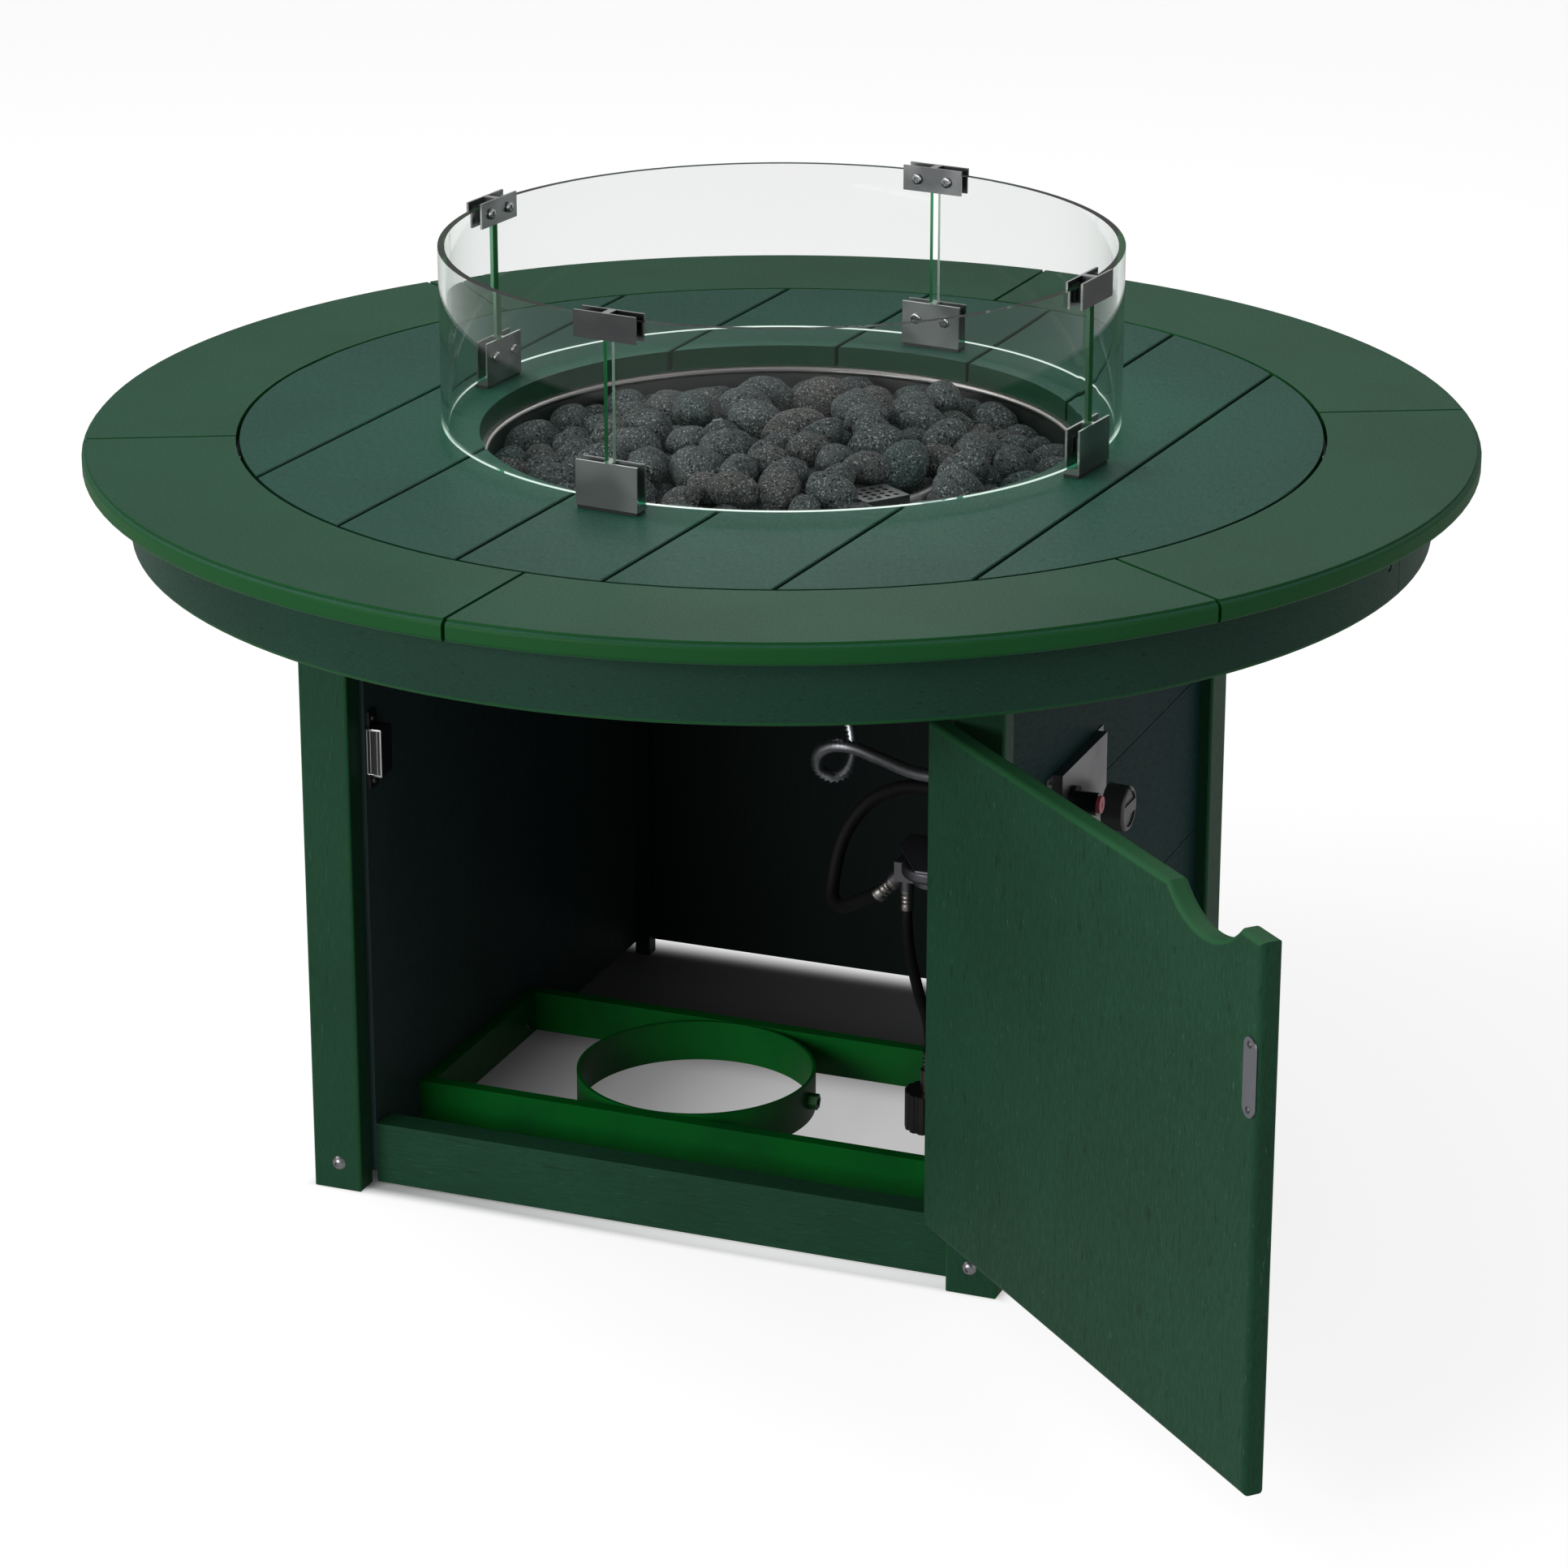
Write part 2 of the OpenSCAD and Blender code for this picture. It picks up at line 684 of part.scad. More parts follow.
// Small screws on the cabinet: support frame, catch, control panel and regulator bracket
module wall_screw(x, y, z, dir) {
    translate([x, y, z]) rotate([0, dir * 90, 0]) dome_head(screw_r, screw_h);
}
frame_screw_in = 51;
frame_screw_up = 11;
module cabinet_screws() color(steel) {
    for (s = [-1, 1], y = [bar_y0 + bar_t + frame_screw_in, bar_y0 + bar_t + bar_span - bar_t * 1.5])
        wall_screw(s * (wall_in_x - bar_t), y, bar_lift + frame_screw_up, -s);
    for (s = [-1, 1]) wall_screw(-wall_in_x + catch_w / 5, reveal_y + catch_w * 0.75,
        catch_z + s * (catch_h + catch_tab_h) / 4, 1);
    for (y = [panel_y0 - flange_w / 2, panel_y1 + flange_w / 2],
        z = [panel_z0 + screw_r * 2, box_top - screw_r * 2])
        wall_screw(side_x + sheet_t, y, z, 1);
    for (y = [bracket_y0 + screw_r * 3, bracket_y0 + bracket_w - screw_r * 3])
        wall_screw(wall_in_x - plate_t, y, plate_z - bracket_drop / 2, -1);
}

// Welded support for the gas cylinder
module tank_frame() color(frame_colour) translate([0, 0, bar_lift]) {
    for (y = [bar_y0, bar_y0 + bar_t + bar_span]) translate([-wall_in_x, y, 0])
        cube([2 * wall_in_x, bar_t, bar_h]);
    for (x = [-wall_in_x, wall_in_x - bar_t]) translate([x, bar_y0, 0])
        cube([bar_t, bar_span + 2 * bar_t, bar_h]);
}

module tank_ring() color(frame_colour) translate([ring_x, ring_y, bar_lift]) difference() {
    union() {
        cylinder(r = ring_r, h = bar_h, $fn = 128);
        rotate(nut_turn) translate([ring_r - ring_t / 2, 0, bar_h / 2]) rotate([0, 90, 0])
            hex(nut_af, nut_h + ring_t / 2);
    }
    translate([0, 0, -cut]) cylinder(r = ring_r - ring_t, h = bar_h + 2 * cut, $fn = 128);
    rotate(nut_turn) translate([ring_r - ring_t - cut, 0, bar_h / 2]) rotate([0, 90, 0])
        cylinder(r = nut_bore_r, h = ring_t + nut_h + 2 * cut, $fn = 32);
}

// Raised control panel: a hat section of sheet steel with closed ends
igniter_hole_r = 8.2;
module control_box() color(steel) difference() {
    union() {
        translate([side_x, panel_y0, panel_z0]) cube([box_proud, box_w, box_w]);
        translate([side_x, panel_y0 - flange_w, panel_z0]) cube([sheet_t, box_w + 2 * flange_w, box_w]);
    }
    translate([side_x - cut, panel_y0 + sheet_t, panel_z0 + sheet_t])
        cube([box_proud + cut - sheet_t, box_w - 2 * sheet_t, box_w - 2 * sheet_t]);
    translate([panel_x - cut, knob_y, knob_z]) rotate([0, 90, 0])
        cylinder(r = stem_r + stem_hole_space, h = 2 * cut);
    translate([panel_x - cut, ign_y, ign_z]) rotate([0, 90, 0])
        cylinder(r = igniter_hole_r, h = 2 * cut);
}

// Gas valve behind the panel, with two ports that face into the cabinet
valve_r = 15;
valve_flange_r = 19;
valve_flange_t = 3;
valve_len = 52;
valve_block = [24, 46, 46];
port_off = 12;
port_r = 9;
port_len = 12;
stem_in = 22;
stem_room = 5;
valve_x = panel_x - sheet_t;
block_x = valve_x - valve_flange_t - valve_len;
port_x = block_x - valve_block[0] - port_len;
module gas_valve() color(steel) difference() {
    translate([0, knob_y, knob_z]) {
        translate([valve_x - valve_flange_t, 0, 0]) rotate([0, 90, 0])
            cylinder(r = valve_flange_r, h = valve_flange_t);
        translate([block_x, 0, 0]) rotate([0, 90, 0]) cylinder(r = valve_r, h = valve_len + valve_flange_t);
        translate([block_x - valve_block[0], -valve_block[1] / 2, -valve_block[2] / 2]) cube(valve_block);
        for (s = [-1, 1]) translate([port_x, s * port_off, -s * port_off]) rotate([0, 90, 0])
            cylinder(r = port_r, h = port_len + cut);
    }
    translate([valve_x - stem_in - stem_room, knob_y, knob_z]) rotate([0, 90, 0])
        cylinder(r = stem_r + run_fit, h = stem_in + stem_room + cut);
}

knob_bore_d = 10;
module valve_stem() color(steel) translate([valve_x - stem_in, knob_y, knob_z]) rotate([0, 90, 0])
    cylinder(r = stem_r, h = stem_in + sheet_t + knob_off + knob_bore_d - seat_gap);

// Knob: tapered skirt, round front rim, dished face and a pointer groove
knob_taper = 1;
knob_round = 3;
dish_d = 1.5;
dish_in = 4;
pointer_w = 2.5;
module gas_knob() color(dark_steel) translate([knob_x, knob_y, knob_z]) rotate([0, 90, 0]) difference() {
    union() {
        rotate_extrude() difference() {
            union() {
                polygon([[0, 0], [knob_r, 0], [knob_r - knob_taper, knob_d - knob_round], [0, knob_d - knob_round]]);
                square([knob_r - knob_taper - knob_round, knob_d]);
                translate([knob_r - knob_taper - knob_round, knob_d - knob_round]) circle(knob_round);
            }
            translate([0, knob_d - dish_d]) square([knob_r - knob_taper - dish_in, 2 * dish_d]);
            translate([-knob_r, 0]) square([knob_r, knob_d]);
        }
        translate([-knob_r / 4, -knob_r + dish_in, knob_d - dish_d - cut])
            cube([knob_r / 2, 2 * (knob_r - dish_in), dish_d + cut]);
    }
    translate([0, 0, -cut]) cylinder(r = stem_r + run_fit, h = knob_bore_d + cut);
    translate([-knob_r - cut, -pointer_w / 2, knob_d / 2]) cube([knob_r / 2, pointer_w, knob_d]);
}

// Igniter: barrel with collar outside, body and back nut inside the panel
collar_r = 14;
collar_t = 5;
igniter_r = 8;
igniter_len = 55;
back_nut_r = 11;
back_nut_t = 4;
button_floor = 15;
button_out = 3;
module igniter_body() color(black) translate([0, ign_y, ign_z]) rotate([0, 90, 0]) difference() {
    union() {
        translate([0, 0, valve_x - igniter_len]) cylinder(r = igniter_r, h = igniter_len + cut);
        translate([0, 0, valve_x - back_nut_t]) cylinder(r = back_nut_r, h = back_nut_t);
        translate([0, 0, panel_x]) cylinder(r = collar_r, h = collar_t);
        translate([0, 0, panel_x]) cylinder(r = barrel_r, h = barrel_len);
    }
    translate([0, 0, panel_x + barrel_len - button_floor])
        cylinder(r = button_r + run_fit, h = button_floor + cut);
}
module igniter_button() color(red) translate([panel_x + barrel_len + button_out, ign_y, ign_z])
    rotate([0, -90, 0]) difference() {
        cylinder(r = button_r, h = button_out + button_floor - button_push - seat_gap * 2);
        translate([0, 0, -dish_d * 3.4]) sphere(button_r * 0.8);
    }

// Regulator under a plate on the right wall
plate_t = 1.5;
plate_down = 102;
plate_z = box_top - plate_down;
bracket_reach = 117;
bracket_w = 85;
bracket_front = 155;
bracket_y0 = bracket_front - half_w;
bracket_cut_x = 35;
bracket_cut_y = 55;
bracket_drop = 26;
reg_in = 82;
reg_x = wall_in_x - reg_in;
reg_back = 53;
reg_y = bracket_y0 + reg_back;
reg_neck_r = 14;
reg_neck_h = 9;
reg_disc_h = 12;
reg_cap_r = 20;
reg_cap_h = 7;
reg_round = 4;
tee_side = 27;
tee_x = reg_x - tee_side;
tee_back = 2;
tee_y = reg_y + tee_back;
tee_w = 18;
tee_down = 22;
tee_z = plate_z - tee_down;
tee_stub_r = 6;
tee_stub_len = 10;
pigtail_top = tee_z - tee_w / 2 - tee_stub_len;
tee_port_r = 8;
tee_port_len = 17;
tee_angle = 45;
module regulator_bracket() color(steel) {
    x0 = wall_in_x - bracket_reach;
    translate([0, 0, plate_z - plate_t]) linear_extrude(plate_t) polygon([
        [wall_in_x, bracket_y0], [wall_in_x, bracket_y0 + bracket_w], [x0, bracket_y0 + bracket_w],
        [x0, bracket_y0 + bracket_cut_y], [x0 + bracket_cut_x, bracket_y0]]);
    translate([wall_in_x - plate_t, bracket_y0, plate_z - bracket_drop])
        cube([plate_t, bracket_w, bracket_drop]);
}

reg_top = plate_z - plate_t;
module regulator() color(dark_steel) {
    translate([reg_x, reg_y, 0]) rotate_extrude() {
        translate([0, reg_top - reg_neck_h]) square([reg_neck_r, reg_neck_h]);
        translate([0, reg_top - reg_neck_h - reg_disc_h]) square([reg_r - reg_round, reg_disc_h]);
        intersection() {
            translate([-reg_r, reg_top - reg_neck_h - reg_disc_h])
                round_rect(2 * reg_r, reg_disc_h, reg_round);
            translate([0, 0]) square([reg_r, reg_top]);
        }
        translate([0, reg_top - reg_neck_h - reg_disc_h - reg_cap_h]) square([reg_cap_r, reg_cap_h + reg_round]);
    }
    translate([tee_x - tee_w / 2, tee_y - tee_w / 2, tee_z - tee_w / 2]) cube(tee_w);
    translate([tee_x, tee_y, pigtail_top]) cylinder(r = tee_stub_r, h = tee_stub_len + cut);
    translate([tee_x, tee_y, tee_z]) rotate([0, tee_angle + 180, 0])
        cylinder(r = tee_port_r, h = tee_port_len);
}

// Swept tubes: a smooth curve through hand-set points, then rings square to it
function spline(p, i, t) = let (n = len(p), a = p[max(i - 1, 0)], b = p[i], c = p[min(i + 1, n - 1)],
    d = p[min(i + 2, n - 1)])
    0.5 * (2 * b + (c - a) * t + (2 * a - 5 * b + 4 * c - d) * t * t + (3 * b - a - 3 * c + d) * t * t * t);
function curve(p, fine) = [for (i = [0:len(p) - 2], k = [0:fine - 1]) spline(p, i, k / fine), p[len(p) - 1]];
function lengths(q, i = 0, s = 0, out = []) = i == len(q) ? out :
    let (t = i == 0 ? 0 : s + norm(q[i] - q[i - 1])) lengths(q, i + 1, t, concat(out, [t]));
function find_at(l, s, i = 0) = i >= len(l) - 2 || l[i + 1] >= s ? i : find_at(l, s, i + 1);
function even(q, n) = let (l = lengths(q), total = l[len(l) - 1])
    [for (k = [0:n]) let (s = total * k / n, i = find_at(l, s), t = (s - l[i]) / (l[i + 1] - l[i]))
        q[i] + (q[i + 1] - q[i]) * t];
function unit(v) = v / norm(v);
function tangent(q, i) = unit(q[min(i + 1, len(q) - 1)] - q[max(i - 1, 0)]);
function carry(u, t) = unit(u - (u * t) * t);
function frames(q, i, u, out = []) = i == len(q) ? out :
    let (v = carry(u, tangent(q, i))) frames(q, i + 1, v, concat(out, [v]));
function ring(q, us, i, r, sides) = let (t = tangent(q, i), u = us[i], v = cross(t, u))
    [for (k = [0:sides - 1]) q[i] + r * (cos(360 * k / sides) * u + sin(360 * k / sides) * v)];
function band_faces(a, b, n, flip) = [for (k = [0:n - 1]) let (m = (k + 1) % n)
    each flip ? [[a + k, b + m, b + k], [a + k, a + m, b + m]] : [[a + k, b + k, b + m], [a + k, b + m, a + m]]];

// A plain solid tube with flat ends
module tube(q, r, sides, up) {
    us = frames(q, 0, up);
    n = len(q);
    pts = [for (i = [0:n - 1]) each ring(q, us, i, r, sides)];
    caps = [[for (k = [1:sides - 2]) [0, k, k + 1]],
        [for (k = [1:sides - 2]) [(n - 1) * sides, (n - 1) * sides + k + 1, (n - 1) * sides + k]]];
    polyhedron(pts, concat([for (i = [0:n - 2]) each band_faces(i * sides, (i + 1) * sides, sides, false)],
        caps[0], caps[1]));
}

// A ribbed tube with its bore: two rings a rib outside, one ring every few ribs inside
module ribbed_tube(q, r, depth, bore_r, sides, up, skip) {
    us = frames(q, 0, up);
    n = len(q);
    inner = [for (i = [0:skip:n - 1]) i];
    m = len(inner);
    pts = concat([for (i = [0:n - 1]) each ring(q, us, i, i % 2 == 1 ? r : r - depth, sides)],
        [for (i = inner) each ring(q, us, i, bore_r, sides)]);
    base = n * sides;
    polyhedron(pts, concat(
        [for (i = [0:n - 2]) each band_faces(i * sides, (i + 1) * sides, sides, false)],
        [for (i = [0:m - 2]) each band_faces(base + i * sides, base + (i + 1) * sides, sides, true)],
        band_faces(0, base, sides, true),
        band_faces((n - 1) * sides, base + (m - 1) * sides, sides, false)));
}

// The least gap of a tube to itself, between rings more than a turn of the loop apart
function self_gap(q, r, apart) = min([for (i = [0:4:len(q) - 1], j = [i + apart:4:len(q) - 1])
    norm(q[i] - q[j])]) - 2 * r;

tube_sides = 8;
// Corrugated connector: down from the burner, one small loop, then to the valve's front port
inlet_drop = 45;
inlet_low = pan_floor - inlet_drop;
flex_route = [[0, 0, inlet_low], [0, 0, inlet_low - flex_d], [0, 0, inlet_low - 2 * flex_d],
    [10, 5, 480], [30, 15, 430], [50, 25, 385], [61, 20, 352], [61, 9, 334], [50, 0, 327],
    [39, -8, 336], [42, -16, 354], [58, -22, 365], [80, -27, 367], [110, -40, 365], [150, -62, 365],
    [190, -82, 372], [port_x - 2 * flex_d, knob_y - port_off, knob_z + port_off],
    [port_x - flex_d, knob_y - port_off, knob_z + port_off],
    [port_x, knob_y - port_off, knob_z + port_off]];
flex_line = even(curve(flex_route, 12), 2 * rib_count);
module flex_hose() color(steel)
    ribbed_tube(flex_line, flex_d / 2, rib_d, flex_bore_d / 2, tube_sides, [1, 0, 0], 4);
echo(flex_gap_to_itself = self_gap(flex_line, flex_d / 2, 40));

// Rubber hose: from the regulator down, round a loose bend and up to the valve's rear port
tee_dir = [-sin(tee_angle), 0, -cos(tee_angle)];
tee_centre = [tee_x, tee_y, tee_z];
hose_route = [tee_centre + tee_dir * tee_port_len, tee_centre + tee_dir * (tee_port_len + hose_d),
    [128, -102, 262], [103, -87, 245], [86, -75, 235], [74, -65, 238], [71, -55, 252],
    [72, -46, 273], [77, -40, 292], [88, -36, 311], [105, -36, 328], [136, -45, 344],
    [170, -55, 349], [port_x - 2 * hose_d, knob_y + port_off, knob_z - port_off],
    [port_x - hose_d, knob_y + port_off, knob_z - port_off],
    [port_x, knob_y + port_off, knob_z - port_off]];
hose_rings = 30;
hose_line = even(curve(hose_route, 8), hose_rings);
module gas_hose() color(black) tube(hose_line, hose_d / 2, tube_sides, [0, 1, 0]);
echo(hose_gap_to_itself = self_gap(hose_line, hose_d / 2, 8));

// Hose from the regulator down to the cylinder coupling, which hangs free
wheel_side = 1;
wheel_x = tee_x + wheel_side;
wheel_back = 60;
wheel_y = tee_y + wheel_back;
wheel_low = 24;
nipple_top = 80;
pigtail_route = [[tee_x, tee_y, pigtail_top], [tee_x, tee_y, pigtail_top - 2 * pigtail_d],
    [tee_x, tee_y, pigtail_top - 3 * pigtail_d], [161, -102, 212], [162, -80, 165], [162, -58, 132], [wheel_x, wheel_y, nipple_top + 3 * pigtail_d],
    [wheel_x, wheel_y, nipple_top + 2 * pigtail_d], [wheel_x, wheel_y, nipple_top]];
pigtail_rings = 12;
pigtail_line = even(curve(pigtail_route, 8), pigtail_rings);
module pigtail_hose() color(black) tube(pigtail_line, pigtail_d / 2, tube_sides, [1, 0, 0]);

// Coupling: a nipple with a collar and a flange, and a handwheel that turns between them
nipple_r = 5;
collar_up_r = 8;
wheel_top = wheel_low + wheel_h;
flute_r = 3;
flutes = 14;
flange_room = 5;
web_low = wheel_low + wheel_thread_d + flange_room;
nipple_flange_t = 3;
axial_gap = 0.3;
module coupling_nipple() color(steel) translate([wheel_x, wheel_y, 0]) {
    translate([0, 0, web_low - axial_gap - nipple_flange_t])
        cylinder(r = nipple_r, h = nipple_top - web_low + axial_gap + nipple_flange_t);
    translate([0, 0, web_low - axial_gap - nipple_flange_t])
        cylinder(r = collar_up_r, h = nipple_flange_t);
    translate([0, 0, wheel_top + axial_gap]) cylinder(r = collar_up_r, h = nipple_top - wheel_top - axial_gap);
}
module coupling_handwheel() color(black) translate([wheel_x, wheel_y, wheel_low]) difference() {
    cylinder(r = wheel_r, h = wheel_h);
    translate([0, 0, -cut]) cylinder(r = wheel_thread_r, h = wheel_thread_d + cut);
    cylinder(r = collar_up_r + flange_room, h = web_low - wheel_low);
    translate([0, 0, -cut]) cylinder(r = nipple_r + run_fit, h = wheel_h + 2 * cut);
    for (i = [0:flutes - 1]) rotate(360 * i / flutes) translate([wheel_r + flute_r / 2, 0, -cut])
        cylinder(r = flute_r, h = wheel_h + 2 * cut, $fn = 24);
}

// Burner pan: spun bowl with a flange under the boards and a rolled bead
pan_corner = 16;
pan_hole_r = 11;
module bowl(r, z0, z1, c) {
    translate([0, z0 + c]) square([r, z1 - z0 - c]);
    translate([0, z0]) square([r - c, z1 - z0]);
    translate([r - c, z0 + c]) circle(c);
}
module burner_pan() color(steel) difference() {
    rotate_extrude($fn = 180) {
        difference() {
            bowl(pan_r, pan_floor - pan_t, top_low, pan_corner);
            bowl(pan_r - pan_t, pan_floor, top_low + cut, pan_corner - pan_t);
        }
        translate([pan_r - pan_t, top_low - pan_t]) square([pan_flange_r - pan_r + pan_t, pan_t]);
        translate([pan_r - pan_t / 2, top_low - pan_t - bead_r + pan_t / 2]) circle(bead_r, $fn = 24);
    }
    translate([0, 0, pan_floor - cut - pan_t]) cylinder(r = pan_hole_r, h = 2 * cut + pan_t);
}

burner_z = pan_floor + burner_up + burner_tube_r;
hub_r = 16;
hub_h = 22;
port_hole_r = 1.4;
port_hole_d = 3;
burner_top = burner_z + burner_tube_r;
module burner_ring() color(steel) difference() {
    union() {
        translate([0, 0, burner_z]) rotate_extrude($fn = 128) translate([burner_r, 0])
            circle(burner_tube_r, $fn = 24);
        translate([0, 0, burner_z]) rotate([0, 90, cross_turn])
            cylinder(r = burner_tube_r * 0.9, h = 2 * burner_r, center = true, $fn = 32);
        translate([0, 0, burner_z - hub_h / 2]) cylinder(r = hub_r, h = hub_h);
    }
    for (i = [0:port_count - 1]) rotate(360 * (i + 0.5) / port_count)
        translate([burner_r, 0, burner_top - port_hole_d])
            cylinder(r = port_hole_r, h = port_hole_d + cut, $fn = 16);
}

inlet_r = 10.5;
lock_af = 32;
lock_t = 8;
inlet_nut_af = 22;
inlet_nut_h = 16;
module burner_inlet() color(steel) {
    translate([0, 0, inlet_low + inlet_nut_h / 2])
        cylinder(r = inlet_r, h = burner_z - hub_h / 2 - inlet_low - inlet_nut_h / 2);
    translate([0, 0, pan_floor - pan_t - lock_t]) hex(lock_af, lock_t);
    translate([0, 0, inlet_low]) hex(inlet_nut_af, inlet_nut_h);
}

// Perforated shroud over the igniter: a folded sheet that straddles the ring tube
shroud_top_gap = 9.5;
shroud_lip = 6;
shroud_hole_r = 2.6;
shroud_rows = 4;
shroud_cols = 4;
shroud_top = burner_top + shroud_top_gap;
module shroud_place() {
    rotate(shroud_turn) translate([burner_r - shroud_len / 2, -shroud_w / 2, 0]) children();
}
module igniter_shroud() color(steel) shroud_place() difference() {
    union() {
        translate([0, 0, shroud_top - pan_t]) cube([shroud_len, shroud_w, pan_t]);
        for (x = [0, shroud_len - pan_t]) translate([x, 0, pan_floor])
            cube([pan_t, shroud_w, shroud_top - pan_floor]);
        for (y = [0, shroud_w - pan_t]) translate([0, y, shroud_top - shroud_lip])
            cube([shroud_len, pan_t, shroud_lip]);
    }
    for (i = [1:shroud_rows], j = [1:shroud_cols])
        translate([shroud_len * i / (shroud_rows + 1), shroud_w * j / (shroud_cols + 1), shroud_top - pan_t - cut])
            cylinder(r = shroud_hole_r, h = pan_t + 2 * cut, $fn = 20);
    for (j = [1:shroud_cols]) translate([-cut, shroud_w * j / (shroud_cols + 1), shroud_top - shroud_lip * 1.5])
        rotate([0, 90, 0]) cylinder(r = shroud_hole_r, h = shroud_len + 2 * cut, $fn = 20);
}

electrode_r = 4;
electrode_space = 0.5;
electrode_in = pan_t + electrode_r + electrode_space;
tip_r = 1.2;
tip_h = 6;
module igniter_electrode() color("white") shroud_place()
    translate([electrode_in, shroud_w / 2, pan_floor]) {
        cylinder(r = electrode_r, h = burner_top - pan_floor - tip_h, $fn = 24);
        cylinder(r = tip_r, h = burner_top - pan_floor, $fn = 16);
    }

// Lava stones: rings of worn pebbles on the pan's floor, and a second layer on the burner
stone_fn = 9;
// ring: radius share of the pan, count, radial, tangential and upright half size shares of a stone
stone_ring_shares = [
    [0.216, 6, 0.41, 0.32, 0.42],
    [0.406, 10, 0.44, 0.43, 0.46],
    [0.712, 19, 0.43, 0.52, 0.46],
    [0.900, 25, 0.42, 0.50, 0.45]];
top_stone_shares = [0.31, 0.52, 0.38];
top_stones = 14;
centre_stone_shares = [0.40, 0.36, 0.38];
function wobble(i, k) = sin(i * 137.5 + k * 73) * 0.5 + sin(i * 71 + k * 29) * 0.5;
function clear_of_shroud(r, a, reach) = norm(polar(r, a) - polar(burner_r, shroud_turn)) > reach;
module stone(at, a, size, seed) {
    s = [for (k = [0:2]) size[k] * (1 - 0.05 * (1 + wobble(seed, k)))];
    low_share = cos(180 / (stone_fn + 1));
    translate([at[0], at[1], at[2] + s[2] * low_share]) rotate([0, 0, a + 6 * wobble(seed, 4)])
        scale([s[0] / stone_d, s[1] / stone_d, s[2] / stone_d]) rotate([0, 0, 40 * seed])
            sphere(stone_d, $fn = stone_fn);
}
module lava_stones() color(stone_colour) {
    for (q = [0:len(stone_ring_shares) - 1]) {
        w = stone_ring_shares[q];
        r = w[0] * pan_r;
        for (i = [0:w[1] - 1]) {
            a = cross_turn + 360 * (i + 0.5) / w[1];
            if (clear_of_shroud(r, a, shroud_len * 0.5 + stone_d * 0.5))
                stone(concat(polar(r, a), [pan_floor + seat_gap]), a, [w[2], w[3], w[4]] * stone_d, i + 31 * q);
        }
    }
    for (i = [0:top_stones - 1]) {
        a = shroud_turn + 360 * (i + 0.5) / top_stones;
        if (clear_of_shroud(burner_r, a, shroud_w * 0.5 + stone_d * 0.4))
            stone(concat(polar(burner_r, a), [burner_top + seat_gap]), a, top_stone_shares * stone_d, i + 7);
    }
    stone([0, 0, burner_z + hub_h / 2 + seat_gap], 0, centre_stone_shares * stone_d, 3);
}

// Glass wind guard
guard_low = table_h + seat_gap;
clip_base_t = 6;
glass_seat = 0.8;
glass_low = guard_low + foot_t + clip_base_t + glass_seat;
glass_top = glass_low + glass_h;
glass_out = glass_r + glass_t / 2;
glass_in = glass_r - glass_t / 2;
plate_out = glass_out + clip_space + clip_t;
plate_in = glass_in - clip_space - clip_t;
web_w = glass_gap - 1.2 * glass_seat;
module at_clips() {
    for (i = [0:3]) rotate(guard_turn + 90 * i) children();
}

module glass_panels() color(glass_colour, 0.4) difference() {
    band(glass_in, glass_out, glass_low, glass_top);
    at_clips() translate([0, -glass_gap / 2, glass_low - cut])
        cube([glass_out + cut, glass_gap, glass_h + 2 * cut]);
}

// An H section: outer plate, inner plate and the web between the panes
module clip(z0, h) {
    for (x = [plate_in, plate_out - clip_t]) translate([x, -clip_w / 2, z0]) cube([clip_t, clip_w, h]);
    translate([plate_in, -web_w / 2, z0]) cube([plate_out - plate_in, web_w, h]);
}
low_clip_z = guard_low + foot_t;
top_clip_z = glass_top + clip_rise - top_clip_h;
module lower_clips() color(steel) at_clips() {
    clip(low_clip_z, low_clip_h);
    translate([plate_in, -clip_w / 2, low_clip_z]) cube([plate_out - plate_in, clip_w, clip_base_t]);
}
module upper_clips() color(steel) at_clips() clip(top_clip_z, top_clip_h);

// Two pan-head screws in the inner plate of each clip
clip_screw_r = 5;
clip_screw_h = 3.2;
low_screw_up = 24;
module clip_screws() color(steel) at_clips()
    for (z = [low_clip_z + low_screw_up, top_clip_z + top_clip_h / 2], s = [-1, 1])
        translate([plate_in, s * clip_screw_pitch / 2, z]) rotate([0, -90, 0])
            dome_head(clip_screw_r, clip_screw_h);

// Rubber feet under the lower clips and gaskets on both sides of the glass
gasket_w = 14;
gasket_in = 6;
glass_nip = 0.1;
module gaskets(z0, h) difference() {
    for (s = [-1, 1]) translate([plate_in + clip_t, s * (web_w / 2 + gasket_in) - (s < 0 ? gasket_w : 0), z0])
        cube([plate_out - plate_in - 2 * clip_t, gasket_w, h]);
    translate([0, 0, z0 - cut]) difference() {
        cylinder(r = glass_out + glass_nip, h = h + 2 * cut, $fn = 180);
        cylinder(r = glass_in - glass_nip, h = h + 2 * cut, $fn = 180);
    }
}
foot_in = 1;
module clip_rubbers() color(black) at_clips() {
    translate([plate_in + foot_in, -clip_w / 2 + foot_in, guard_low])
        cube([plate_out - plate_in - 2 * foot_in, clip_w - 2 * foot_in, foot_t]);
    gaskets(low_clip_z + low_screw_up - gasket_w / 2, gasket_w);
    gaskets(top_clip_z + top_clip_h / 2 - gasket_w / 2, gasket_w);
}

